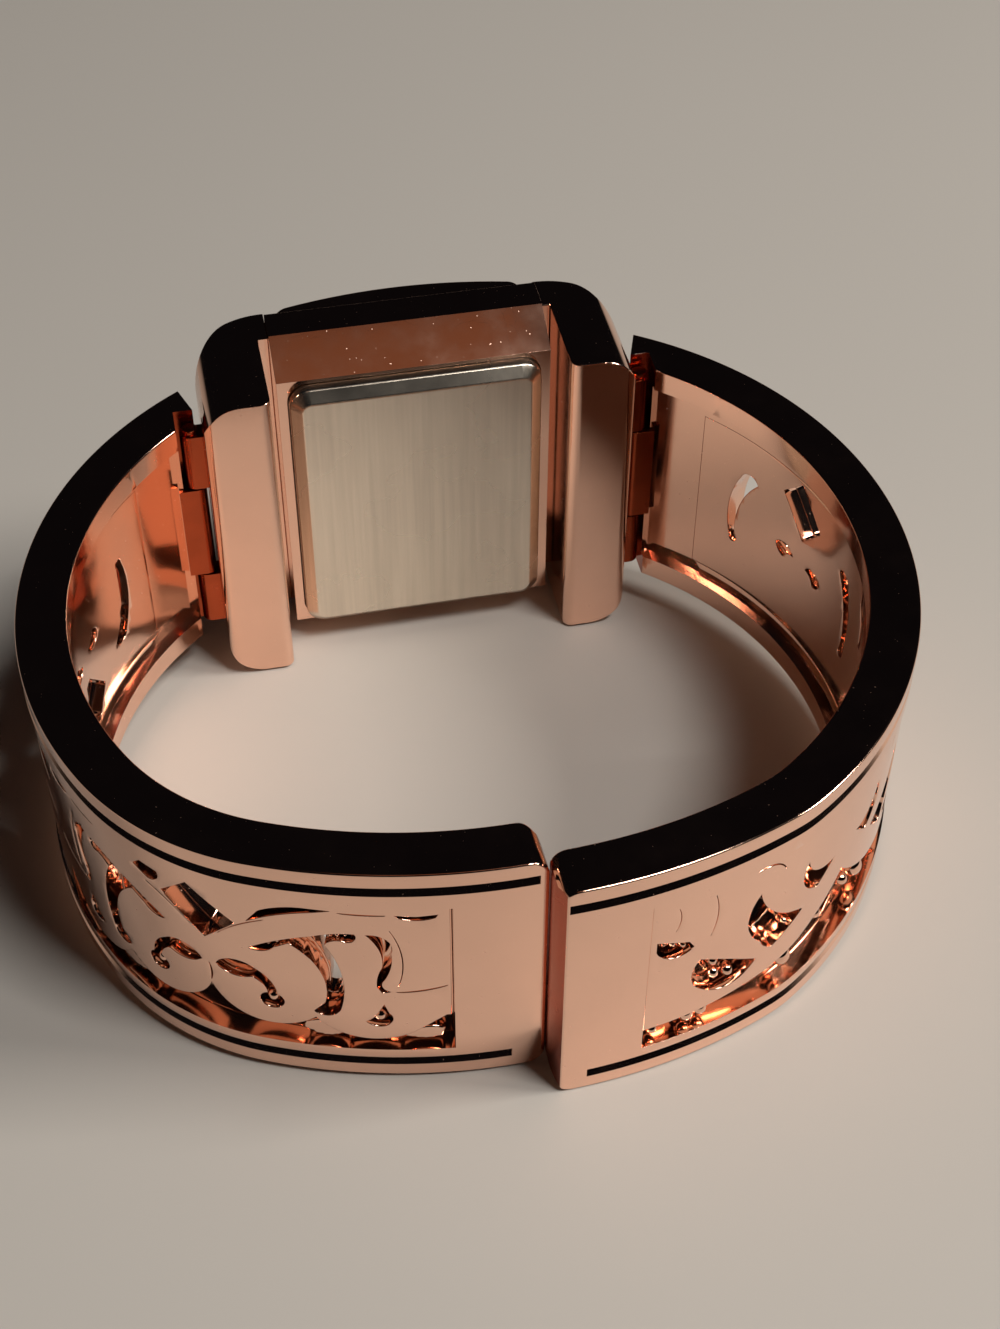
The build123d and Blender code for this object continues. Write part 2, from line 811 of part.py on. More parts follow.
def hinge_spring(side):
    """The bowed leaf that closes one arm, in its pocket in the bar."""
    foot_x = bar_outer_x - leaf_pocket_depth
    bottom, top = middle_z - leaf_length / 2, middle_z + leaf_length / 2
    with BuildPart() as leaf:
        with BuildSketch(Plane.XZ.offset(-hinge_y - leaf_width / 2)):
            with BuildLine():
                for face_x in (foot_x, foot_x + leaf_thickness):
                    ThreePointArc((face_x, bottom), (face_x + leaf_rise, middle_z), (face_x, top))
                for end in (bottom, top):
                    Line((foot_x, end), (foot_x + leaf_thickness, end))
            make_face()
        extrude(amount=leaf_width)
        if side < 0:
            mirror(about=Plane.YZ, mode=Mode.REPLACE)
    return leaf.part


for side_name, side, arcs in (("left", -1, left_arcs), ("right", 1, right_arcs)):
    for piece_name, piece in (
        ("arm_frame", arm_frame(arcs, side)),
        ("scroll_panel", scroll_panel(arcs, side)),
        ("side_bar", side_bar(side)),
        ("hinge_pin", hinge_pin(side)),
        ("hinge_spring", hinge_spring(side)),
    ):
        piece.label = f"{side_name}_{piece_name}"
        export_step(piece, f"parts/{side_name}_{piece_name}.step")

# Crown, its seal, its tube in the case, the stem and the lever that follows it
crown_centre = (0, hinge_y + crown_reach)
with BuildPart() as crown:
    with BuildSketch(Plane.XY.offset(crown_bottom)):
        with Locations(crown_centre):
            Circle(crown_radius)
            with PolarLocations(crown_radius, crown_flutes):
                Rectangle(crown_flute_width, crown_flute_width, rotation=45, mode=Mode.SUBTRACT)
    extrude(amount=crown_length)
    with BuildSketch(Plane.XY.offset(stem_bottom)):
        with Locations(crown_centre):
            Circle(crown_bore)
    extrude(amount=crown_length, mode=Mode.SUBTRACT)
crown.part.label = "crown"
export_step(crown.part, "parts/crown.step")

with BuildPart() as crown_gasket:
    with BuildSketch(Plane.XY.offset(tube_bottom + moving_clearance)):
        with Locations(crown_centre):
            Circle(crown_bore)
            Circle(crown_bore - crown_seal_width, mode=Mode.SUBTRACT)
    extrude(amount=crown_seal_thickness)
crown_gasket.part.label = "crown_gasket"
export_step(crown_gasket.part, "parts/crown_gasket.step")

with BuildPart() as crown_tube:
    with BuildSketch(Plane.XY.offset(tube_bottom)):
        with Locations(crown_centre):
            Circle(tube_radius)
            Circle(stem_radius + running_clearance, mode=Mode.SUBTRACT)
    extrude(amount=cavity_bottom - tube_bottom)
crown_tube.part.label = "crown_tube"
export_step(crown_tube.part, "parts/crown_tube.step")

with BuildPart() as stem:
    with BuildSketch(Plane.XY.offset(stem_bottom)):
        with Locations(crown_centre):
            Circle(stem_radius)
    extrude(amount=stem_top - stem_bottom)
    with BuildSketch(Plane.XY.offset(groove_middle - stem_groove / 2)):
        with Locations(crown_centre):
            Circle(stem_radius + overrun)
            Circle(stem_groove_radius, mode=Mode.SUBTRACT)
    extrude(amount=stem_groove, mode=Mode.SUBTRACT)
stem.part.label = "stem"
export_step(stem.part, "parts/stem.step")

with BuildPart() as setting_lever:
    with BuildSketch(Plane.XY.offset(groove_middle - lever_thickness / 2)):
        with Locations(crown_centre):
            Rectangle(lever_width, lever_height)
            Circle(stem_groove_radius + running_clearance, mode=Mode.SUBTRACT)
            Rectangle(
                2 * (stem_groove_radius + running_clearance), lever_height,
                align=(Align.CENTER, Align.MIN), mode=Mode.SUBTRACT,
            )
    extrude(amount=lever_thickness)
setting_lever.part.label = "setting_lever"
export_step(setting_lever.part, "parts/setting_lever.step")

# Movement holder, with the way of the stem through it
with BuildPart() as movement_holder:
    holder_depth = holder_top - holder_bottom
    holder_width = cavity_width - 2 * fit_clearance
    holder_height = cavity_height - 2 * fit_clearance
    room_width = movement_width + 2 * fit_clearance
    room_height = movement_height + 2 * fit_clearance
    add(slab(holder_bottom, holder_depth, holder_width, holder_height, cavity_corner))
    add(slab(holder_bottom, holder_depth, room_width, room_height, movement_corner), mode=Mode.SUBTRACT)
    with BuildSketch(Plane.XY.offset(cavity_bottom)):
        with Locations(crown_centre):
            Circle(stem_radius + 2 * running_clearance)
    extrude(amount=cavity_height / 2, mode=Mode.SUBTRACT)
movement_holder.part.label = "movement_holder"
export_step(movement_holder.part, "parts/movement_holder.step")

# Movement: the plates, with a pillar in each of two opposite corners
pillar_x = movement_width / 2 - pillar_inset
pillar_y = movement_height / 2 - pillar_inset
pillar_places = ((-pillar_x, pillar_y), (pillar_x, -pillar_y))
third_place = (0, centre_wheel_radius + third_pinion_radius + wheel_gap)
rotor_reach = third_wheel_radius + rotor_pinion_radius + wheel_gap
rotor_place = (
    rotor_reach * cos(radians(rotor_angle)),
    third_place[1] + rotor_reach * sin(radians(rotor_angle)),
)
minute_wheel_place = (cannon_radius + minute_wheel_radius + wheel_gap, 0)
bridge_top = bridge_level + bridge_thickness
train_bottom = bridge_top + arbor_end_clear
plate_top = plate_level + plate_thickness

screw_bore = screw_radius + running_clearance
hour_wheel_top = hour_wheel_level + train_thickness
with BuildPart() as main_plate:
    add(slab(plate_level, plate_thickness, movement_width, movement_height, movement_corner))
    add(disc(plate_level, plate_thickness, hour_bore), mode=Mode.SUBTRACT)
    add(disc(plate_top, hour_wheel_top - plate_top, arbor_radius, minute_wheel_place))
    for place in pillar_places:
        add(post(bridge_top, plate_level - bridge_top, pillar_radius, pillar_sides, place))
        add(disc(bridge_top, plate_top - bridge_top, screw_bore, place), mode=Mode.SUBTRACT)
main_plate.part.label = "main_plate"
export_step(main_plate.part, "parts/main_plate.step")

with BuildPart() as train_bridge:
    add(slab(bridge_level, bridge_thickness, movement_width, movement_height, movement_corner))
    for place in pillar_places:
        add(disc(bridge_level, bridge_thickness, screw_bore, place), mode=Mode.SUBTRACT)
train_bridge.part.label = "train_bridge"
export_step(train_bridge.part, "parts/train_bridge.step")

with BuildPart() as bridge_screws:
    for place in pillar_places:
        add(disc(bridge_level - screw_head, screw_head, screw_head_radius, place))
        add(post(bridge_level, plate_level - bridge_level, screw_radius, screw_sides, place))
bridge_screws.part.label = "bridge_screws"
export_step(bridge_screws.part, "parts/bridge_screws.step")

# Movement: the battery, its clamp, the circuit board, the coil and the stator
battery_place = (
    battery_radius + battery_inset - movement_width / 2,
    battery_radius + 2 * battery_inset - movement_height / 2,
)
with BuildPart() as battery:
    add(disc(battery_level, battery_thickness, battery_radius, battery_place))
battery.part.label = "battery"
export_step(battery.part, "parts/battery.step")

clamp_side = battery_place[0] + battery_radius + fit_clearance
clamp_bottom = battery_level - clamp_thickness
with BuildPart() as battery_clamp:
    with BuildSketch(head_plane(clamp_bottom)):
        with Locations((clamp_side + clamp_thickness, battery_place[1])):
            Rectangle(battery_radius * 2, clamp_width, align=(Align.MAX, Align.CENTER))
    extrude(amount=clamp_thickness)
    with BuildSketch(head_plane(clamp_bottom)):
        with Locations((clamp_side, battery_place[1])):
            Rectangle(clamp_thickness, clamp_width, align=(Align.MIN, Align.CENTER))
    extrude(amount=bridge_level - clamp_bottom)
battery_clamp.part.label = "battery_clamp"
export_step(battery_clamp.part, "parts/battery_clamp.step")

with BuildPart() as circuit_board:
    with BuildSketch(head_plane(bridge_level - board_thickness)):
        with Locations((movement_width / 2 - board_inset, 0)):
            Rectangle(board_width, board_height, align=(Align.MAX, Align.CENTER))
    extrude(amount=board_thickness)
circuit_board.part.label = "circuit_board"
export_step(circuit_board.part, "parts/circuit_board.step")

coil_x = movement_width / 2 - coil_inset
coil_level = stator_level + stator_thickness / 2
with BuildPart() as coil:
    with BuildSketch(Plane(origin=(-coil_x, hinge_y + coil_level, middle_z - coil_length / 2))):
        Circle(coil_radius)
        Circle(coil_bore, mode=Mode.SUBTRACT)
    extrude(amount=coil_length)
coil.part.label = "coil"
export_step(coil.part, "parts/coil.step")

with BuildPart() as stator:
    with BuildSketch(head_plane(stator_level)):
        with Locations(rotor_place):
            Rectangle(2 * (rotor_radius + stator_margin), 2 * rotor_radius + stator_margin)
        with Locations((coil_x, rotor_place[1])):
            core_length = rotor_place[1] + coil_length / 2 + stator_margin
            Rectangle(core_width, core_length, align=(Align.CENTER, Align.MAX))
            Rectangle(coil_x - rotor_place[0], core_width, align=(Align.MAX, Align.CENTER))
        with Locations((coil_x, -coil_length / 2 - stator_margin)):
            Rectangle(2 * coil_radius, core_width)
        with Locations(rotor_place):
            Circle(rotor_radius + 2 * running_clearance, mode=Mode.SUBTRACT)
    extrude(amount=stator_thickness)
stator.part.label = "stator"
export_step(stator.part, "parts/stator.step")

# Movement: the moving train, in the order that it runs
pinion_top = plate_level - arbor_end_clear
pinion_level = rotor_level + rotor_length
with BuildPart() as rotor:
    add(disc(train_bottom, rotor_level - train_bottom, arbor_radius, rotor_place))
    add(disc(rotor_level, rotor_length, rotor_radius, rotor_place))
    add(post(pinion_level, pinion_top - pinion_level, rotor_pinion_radius, pinion_leaves, rotor_place))
rotor.part.label = "rotor"
export_step(rotor.part, "parts/rotor.step")

with BuildPart() as third_wheel:
    add(wheel(third_wheel_level, third_wheel_radius, third_place))
    add(disc(train_bottom, third_wheel_level - train_bottom, arbor_radius, third_place))
    third_pinion_length = pinion_top - third_wheel_level
    add(post(third_wheel_level, third_pinion_length, third_pinion_radius, pinion_leaves, third_place))
third_wheel.part.label = "third_wheel"
export_step(third_wheel.part, "parts/third_wheel.step")

with BuildPart() as centre_wheel:
    add(wheel(centre_wheel_level, centre_wheel_radius))
    add(disc(train_bottom, minute_hand_bottom - train_bottom, arbor_radius))
    add(disc(minute_wheel_level, train_thickness, cannon_radius))
centre_wheel.part.label = "centre_wheel"
export_step(centre_wheel.part, "parts/centre_wheel.step")

with BuildPart() as minute_wheel:
    minute_pinion_length = hour_wheel_top - minute_wheel_level
    add(wheel(minute_wheel_level, minute_wheel_radius, minute_wheel_place, hour_bore))
    add(disc(minute_wheel_level, minute_pinion_length, minute_pinion_radius, minute_wheel_place, hour_bore))
minute_wheel.part.label = "minute_wheel"
export_step(minute_wheel.part, "parts/minute_wheel.step")

with BuildPart() as hour_wheel:
    add(wheel(hour_wheel_level, hour_wheel_radius, bore=hour_bore))
    add(disc(hour_wheel_level, hour_hand_bottom - hour_wheel_level, hour_tube_radius, bore=hour_bore))
hour_wheel.part.label = "hour_wheel"
export_step(hour_wheel.part, "parts/hour_wheel.step")
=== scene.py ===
"""Finish of a rose gold bangle watch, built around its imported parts."""

import json
from math import asin, atan2, cos, degrees, pi, radians, sin

import bmesh
import bpy
from mathutils import Matrix, Vector


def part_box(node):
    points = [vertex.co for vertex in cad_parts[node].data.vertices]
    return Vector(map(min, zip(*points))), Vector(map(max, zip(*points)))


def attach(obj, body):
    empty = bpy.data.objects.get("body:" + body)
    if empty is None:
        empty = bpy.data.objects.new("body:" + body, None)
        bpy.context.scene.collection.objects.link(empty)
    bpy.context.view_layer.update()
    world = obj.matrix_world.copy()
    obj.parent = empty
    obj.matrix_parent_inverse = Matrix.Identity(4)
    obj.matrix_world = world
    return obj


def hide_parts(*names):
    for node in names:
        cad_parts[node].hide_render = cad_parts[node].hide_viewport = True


bl_info = {
    "name": "Bangle Watch Finish",
    "version": (1, 0, 0),
    "blender": (4, 5, 0),
    "location": "View3D > Sidebar > Bangle Watch",
    "description": "Models the scrollwork arms, the watch head and their polished metals",
    "category": "Add Mesh",
}

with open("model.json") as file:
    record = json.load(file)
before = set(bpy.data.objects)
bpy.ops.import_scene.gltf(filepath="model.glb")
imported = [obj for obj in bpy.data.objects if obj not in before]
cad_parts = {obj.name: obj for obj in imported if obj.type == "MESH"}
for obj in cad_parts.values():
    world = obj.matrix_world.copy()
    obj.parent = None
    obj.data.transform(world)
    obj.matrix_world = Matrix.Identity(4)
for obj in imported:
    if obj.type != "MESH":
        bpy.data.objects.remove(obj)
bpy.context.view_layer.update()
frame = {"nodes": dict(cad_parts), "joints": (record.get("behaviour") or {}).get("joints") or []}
MM = 0.001

# The hinge line and the middle height come from the frame's joints
hinge_joint = next(joint for joint in frame["joints"] if joint["name"] == "right_arm_hinge")
HINGE_X, HINGE_Y, MIDDLE_Z = [value / MM for value in hinge_joint["pos_m"]]
HEAD_LOW, HEAD_HIGH = [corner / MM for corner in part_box("case_body")]
FRAME_LOW, FRAME_HIGH = [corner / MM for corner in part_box("right_arm_frame")]
ARM_BOTTOM = FRAME_LOW.z
ARM_TOP = FRAME_HIGH.z

# Arm curve in millimetres, as three tangent arcs from the gap to the hinge. The gap is nearly closed,
# and a corner holds its radius and the angles where it starts and ends.
GAP_WIDTH = 0.06
FRONT_RADIUS = 42.5
SIDE_RADIUS = 29.7
SIDE_END_ANGLE = 145.2
CORNERS = {-1: (20.0, 24.0, 62.5), 1: (12.0, 22.6, 33.0)}
ARM_END_X = 19.1
ARM_END_DEPTH = 3.15
ARM_END_CLEAR = 1.05
ARM_END_GAP = 0.5
ARM_END_ANGLE = 19.0
BAR_OUTER_X = 16.85

# Sections of an arm in millimetres
ARM_THICKNESS = 3.6
UPPER_RAIL = 3.5
LOWER_RAIL = 3.0
LIP_WIDTH = 1.25
GROOVE_WIDTH = 0.85
GROOVE_DEPTH = 0.6
GROOVE_FLAT = 0.2
UPPER_GROOVE_STOP = 0.6
LOWER_GROOVE_STOP = 2.3
GAP_PLATE = 6.2
HINGE_PLATE = 7.2
RIM_WIDTH = 2.0
RIM_END = 2.2
RECESS_DEPTH = 1.0
PANEL_INSET = 0.15
LAYER_DEPTH = 1.45
LAYER_LAP = 0.02
WINDOW_BOTTOM = ARM_BOTTOM + LOWER_RAIL
WINDOW_TOP = ARM_TOP - UPPER_RAIL
WINDOW_MIDDLE = (WINDOW_BOTTOM + WINDOW_TOP) / 2
WINDOW_HALF = (WINDOW_TOP - WINDOW_BOTTOM) / 2

# Corners of the gap ends, and how far each end's slant runs along the arm and into it
OUTER_CORNER = 0.12
INNER_CORNERS = {-1: 1.6, 1: 0.35}
END_FACETS = {-1: (0.04, 0.15), 1: (0.45, 1.7)}
ELEVATION_CORNER = 1.3

# Knuckle of an arm, its web and its bore
KNUCKLE_RADIUS = 0.8
KNUCKLE_LENGTH = 8.9
KNUCKLE_CLEAR = 0.3
WEB_LAP = 0.35
PIN_BORE = 0.4

# Working distances in millimetres, and angles in degrees
OVERRUN = 1.0
SLICE = 0.5
NEAR = 0.01
SLICE_WELD = 0.0001
MESH_WELD = 0.0005
CAD_WELD = 0.002
CAD_FLAT_ANGLE = 0.5
SHARP_ANGLE = 50
SOFT_ANGLE = 35
FLAT_WEIGHT = 60

# Edge rounding in millimetres
FRAME_ROUND = 0.05
CASE_ROUND = 0.12
BACK_ROUND = 0.1
BAR_ROUND = 0.2
CRYSTAL_ROUND = 0.08
PIN_ROUND = 0.06
CROWN_ROUND = 0.05
HAND_ROUND = 0.03
MOVEMENT_ROUND = 0.02


class BangleFinish(bpy.types.PropertyGroup):
    """Colours and small sizes of the finish that a user would change"""

    gold_colour: bpy.props.FloatVectorProperty(
        name="Rose gold", description="Colour of the polished rose gold", subtype="COLOR",
        default=(0.97, 0.61, 0.46), min=0.0, max=1.0,
    )
    gold_roughness: bpy.props.FloatProperty(
        name="Polish", description="Roughness of the polished metal", default=0.07, min=0.0, max=1.0,
    )
    steel_colour: bpy.props.FloatVectorProperty(
        name="Steel", description="Colour of the steel back", subtype="COLOR",
        default=(0.82, 0.73, 0.61), min=0.0, max=1.0,
    )
    edge_round: bpy.props.FloatProperty(
        name="Edge rounding", description="Radius of the arms' long edges", default=0.16 * MM,
        min=0.0, unit="LENGTH",
    )
    relief_round: bpy.props.FloatProperty(
        name="Relief rounding", description="Radius of the edges of the scrollwork", default=0.05 * MM,
        min=0.0, unit="LENGTH",
    )


class StageSettings(bpy.types.PropertyGroup):
    """Floor, light and camera"""

    floor_colour: bpy.props.FloatVectorProperty(
        name="Floor", description="Colour of the pale floor", subtype="COLOR",
        default=(0.60, 0.565, 0.52), min=0.0, max=1.0,
    )
    key_power: bpy.props.FloatProperty(
        name="Key light", description="Power of the lamp at the right", default=3.0, min=0.0, unit="POWER",
    )
    ceiling_power: bpy.props.FloatProperty(
        name="Ceiling light", description="Power of the lamp above in front", default=3.3,
        min=0.0, unit="POWER",
    )
    lens: bpy.props.FloatProperty(
        name="Lens", description="Focal length of the camera in millimetres", default=57.4, min=1.0,
    )


def finish_settings():
    """The settings of the metals and edges."""
    return bpy.context.scene.bangle_finish


def stage_settings():
    """The settings of the floor, light and camera."""
    return bpy.context.scene.bangle_stage


# Arm curve


def outward(angle):
    """The horizontal direction at an angle from -Y towards +X, in degrees."""
    return Vector((sin(radians(angle)), -cos(radians(angle)), 0))


def arm_arcs(side):
    """Centre, radius, first and last angle of an arm's outer arcs, from the gap to the hinge."""
    corner_radius, first_turn, second_turn = CORNERS[side]
    end = Vector((ARM_END_X, HINGE_Y + ARM_END_DEPTH, 0))
    side_centre = end - outward(SIDE_END_ANGLE) * SIDE_RADIUS
    corner_centre = side_centre + outward(second_turn) * (SIDE_RADIUS - corner_radius)
    front_centre = corner_centre - outward(first_turn) * (FRONT_RADIUS - corner_radius)
    start = degrees(asin((GAP_WIDTH / 2 - front_centre.x) / FRONT_RADIUS))
    return (
        (front_centre, FRONT_RADIUS, start, first_turn),
        (corner_centre, corner_radius, first_turn, second_turn),
        (side_centre, SIDE_RADIUS, second_turn, SIDE_END_ANGLE),
    )


def curve_length(arcs):
    """The length of an arm's outer curve in millimetres."""
    return sum(radius * radians(last - first) for centre, radius, first, last in arcs)


def arc_spot(arcs, distance, depth):
    """The point that lies a distance along an arm and a depth under its outer face."""
    for arc in arcs:
        centre, radius, first, last = arc
        length = radius * radians(last - first)
        if distance <= length or arc is arcs[-1]:
            return centre + outward(first + degrees(distance / radius)) * (radius - depth)
        distance -= length


# Mesh helpers. Flat pieces are made in millimetres, with X along the arm, Y into it and Z up.


def in_scene(bm, name):
    """A linked object from a bmesh, which is freed."""
    mesh = bpy.data.meshes.new(name)
    bm.to_mesh(mesh)
    bm.free()
    piece = bpy.data.objects.new(name, mesh)
    bpy.context.scene.collection.objects.link(piece)
    return piece


def evaluated(piece):
    """A bmesh of an object with its modifiers applied. The object is removed."""
    depsgraph = bpy.context.evaluated_depsgraph_get()
    mesh = bpy.data.meshes.new_from_object(piece.evaluated_get(depsgraph))
    bm = bmesh.new()
    bm.from_mesh(mesh)
    data = piece.data
    bpy.data.objects.remove(piece)
    if isinstance(data, bpy.types.Mesh):
        bpy.data.meshes.remove(data)
    else:
        bpy.data.curves.remove(data)
    bpy.data.meshes.remove(mesh)
    return bm


def combined(bm, others, operation):
    """The first bmesh with the others cut from it, joined to it or shared with it."""
    base = in_scene(bm, "base")
    tools = []
    for other in others:
        tool = in_scene(other, "tool")
        tools.append(tool)
        modifier = base.modifiers.new("combine", "BOOLEAN")
        modifier.operation = operation
        modifier.object = tool
        modifier.solver = "EXACT"
    result = evaluated(base)
    for tool in tools:
        mesh = tool.data
        bpy.data.objects.remove(tool)
        bpy.data.meshes.remove(mesh)
    return result


def block(low, high):
    """A rectangular block between two corners."""
    bm = bmesh.new()
    bmesh.ops.create_cube(bm, size=1.0)
    low = Vector(low)
    size = Vector(high) - low
    bmesh.ops.scale(bm, vec=size, verts=bm.verts)
    bmesh.ops.translate(bm, vec=low + size / 2, verts=bm.verts)
    return bm


def prism(points, low, high):
    """An upright prism over a plan outline."""
    bm = bmesh.new()
    base = bm.faces.new([bm.verts.new((x, y, low)) for x, y in points])
    made = bmesh.ops.extrude_face_region(bm, geom=[base])["geom"]
    lifted = [item for item in made if isinstance(item, bmesh.types.BMVert)]
    bmesh.ops.translate(bm, vec=(0, 0, high - low), verts=lifted)
    bmesh.ops.recalc_face_normals(bm, faces=bm.faces)
    return bm


def upright_rod(radius, length, segments, spot):
    """A closed upright rod around a point."""
    bm = bmesh.new()
    bmesh.ops.create_cone(
        bm, cap_ends=True, segments=segments, radius1=radius, radius2=radius, depth=length,
    )
    bmesh.ops.translate(bm, verts=bm.verts, vec=spot)
    return bm


def rounded(bm, edges, radius, segments):
    """Rounds some edges of a bmesh."""
    bmesh.ops.bevel(
        bm, geom=edges, offset=radius, segments=segments, profile=0.5, affect="EDGES", material=-1,
        clamp_overlap=False,
    )


def edges_along(bm, axis, where):
    """The edges that run along an axis and whose middle passes a test."""
    found = []
    for edge in bm.edges:
        run = edge.verts[1].co - edge.verts[0].co
        if abs(run[axis]) > 0.99 * run.length and where((edge.verts[0].co + edge.verts[1].co) / 2):
            found.append(edge)
    return found


def plate(outlines, near, far, edge):
    """A plate between two depths from closed outlines, the outer one first, with rounded edges."""
    curve = bpy.data.curves.new("plate", "CURVE")
    curve.dimensions = "2D"
    curve.fill_mode = "BOTH"
    curve.extrude = (far - near) / 2 - edge
    curve.bevel_depth = edge
    curve.bevel_resolution = 1
    curve.offset = -edge
    for outline in outlines:
        spline = curve.splines.new("POLY")
        spline.points.add(len(outline) - 1)
        for point, (along, up) in zip(spline.points, outline):
            point.co = (along, up, 0, 1)
        spline.use_cyclic_u = True
    holder = bpy.data.objects.new("plate", curve)
    bpy.context.scene.collection.objects.link(holder)
    bm = evaluated(holder)
    bmesh.ops.rotate(bm, verts=bm.verts, cent=(0, 0, 0), matrix=Matrix.Rotation(pi / 2, 3, "X"))
    bmesh.ops.translate(bm, verts=bm.verts, vec=(0, (near + far) / 2, 0))
    bmesh.ops.remove_doubles(bm, verts=bm.verts, dist=MESH_WELD)
    return bm


def sliced(bm, start, stop):
    """Cuts a flat piece into short lengths, so that it can be bent."""
    count = int((stop - start) / SLICE)
    for index in range(1, count + 1):
        geometry = bm.verts[:] + bm.edges[:] + bm.faces[:]
        bmesh.ops.bisect_plane(
            bm, geom=geometry, dist=SLICE_WELD, plane_co=(start + index * SLICE, 0, 0), plane_no=(1, 0, 0),
        )
    return bm


def bent(bm, side):
    """Bends a flat piece onto the curve of one arm, still in millimetres."""
    arcs = arm_arcs(side)
    for vert in bm.verts:
        spot = arc_spot(arcs, vert.co.x, vert.co.y)
        vert.co = Vector((side * spot.x, spot.y, vert.co.z))
    if side < 0:
        bmesh.ops.reverse_faces(bm, faces=bm.faces)
    return bm


def joined(parts):
    """One bmesh that holds several."""
    whole = bmesh.new()
    for part in parts:
        mesh = bpy.data.meshes.new("part")
        part.to_mesh(mesh)
        part.free()
        whole.from_mesh(mesh)
        bpy.data.meshes.remove(mesh)
    return whole


def finished(bm, name, body, node, material):
    """A finished piece in metres that rides on a body and stands for a CAD node."""
    bmesh.ops.scale(bm, vec=(MM, MM, MM), verts=bm.verts)
    for face in bm.faces:
        face.smooth = True
    piece = in_scene(bm, name)
    piece.data.materials.append(material)
    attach(piece, body)
    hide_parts(node)
    return piece


def flattened(piece):
    """Keeps the flats of a piece flat."""
    normals = piece.modifiers.new("flats", "WEIGHTED_NORMAL")
    normals.weight = FLAT_WEIGHT
    return normals


def softened(piece, width, segments):
    """Rounds the sharp edges of a piece, by a width in millimetres, and keeps its flats flat."""
    bevel = piece.modifiers.new("edges", "BEVEL")
    bevel.width = width * MM
    bevel.segments = segments
    bevel.limit_method = "ANGLE"
    bevel.angle_limit = radians(SOFT_ANGLE)
    bevel.use_clamp_overlap = True
    bevel.miter_outer = "MITER_ARC"
    flattened(piece).keep_sharp = True


def refined(node, material, width, segments=3):
    """Gives a CAD node merged faces, rounded edges and a finish, and leaves its mesh alone."""
    piece = frame["nodes"][node]
    weld = piece.modifiers.new("weld", "WELD")
    weld.merge_threshold = CAD_WELD * MM
    flats = piece.modifiers.new("merge", "DECIMATE")
    flats.decimate_type = "DISSOLVE"
    flats.angle_limit = radians(CAD_FLAT_ANGLE)
    softened(piece, width, segments)
    dress(piece, material)
    return piece


def dress(piece, material):
    """Puts one material on a CAD node."""
    piece.data.materials.clear()
    piece.data.materials.append(material)


# Materials


class Recipe:
    """Builds a material's nodes, a socket at a time."""

    def __init__(self, name):
        self.material = bpy.data.materials.new(name)
        self.material.use_nodes = True
        self.tree = self.material.node_tree
        self.shader = self.tree.nodes["Principled BSDF"]

    def node(self, kind, **settings):
        """Adds a node and sets its plain values and inputs."""
        made = self.tree.nodes.new(kind)
        for key, value in settings.items():
            if key in made.inputs:
                made.inputs[key].default_value = value
            else:
                setattr(made, key, value)
        return made

    def link(self, start, end):
        """Joins an output to an input."""
        self.tree.links.new(start, end)

    def place(self, scale=(1, 1, 1)):
        """Object coordinates, stretched."""
        coordinates = self.node("ShaderNodeTexCoord")
        mapping = self.node("ShaderNodeMapping")
        mapping.inputs["Scale"].default_value = scale
        self.link(coordinates.outputs["Object"], mapping.inputs["Vector"])
        return mapping.outputs["Vector"]

    def noise(self, scale, detail=2.0, roughness=0.5, stretch=(1, 1, 1)):
        """A noise pattern in the piece's own space."""
        made = self.node("ShaderNodeTexNoise", Scale=scale, Detail=detail, Roughness=roughness)
        self.link(self.place(stretch), made.inputs["Vector"])
        return made.outputs["Fac"]

    def ramp(self, factor, stops):
        """A ramp between two colours over a factor."""
        made = self.node("ShaderNodeValToRGB")
        for element, (spot, colour) in zip(made.color_ramp.elements, stops):
            element.position = spot
            element.color = (*colour, 1)
        self.link(factor, made.inputs["Fac"])
        return made.outputs["Color"]

    def range(self, factor, low, high, new_low, new_high):
        """Maps a factor from one range to another."""
        made = self.node("ShaderNodeMapRange")
        for key, value in zip(("From Min", "From Max", "To Min", "To Max"), (low, high, new_low, new_high)):
            made.inputs[key].default_value = value
        self.link(factor, made.inputs["Value"])
        return made.outputs["Result"]

    def bump(self, height, strength, distance, normal=None):
        """A bump whose distance is in metres."""
        made = self.node("ShaderNodeBump", Strength=strength, Distance=distance)
        self.link(height, made.inputs["Height"])
        if normal:
            self.link(normal, made.inputs["Normal"])
        return made.outputs["Normal"]


def shades(colour, factor):
    """A colour made darker or lighter."""
    return tuple(min(1.0, part * factor) for part in colour)


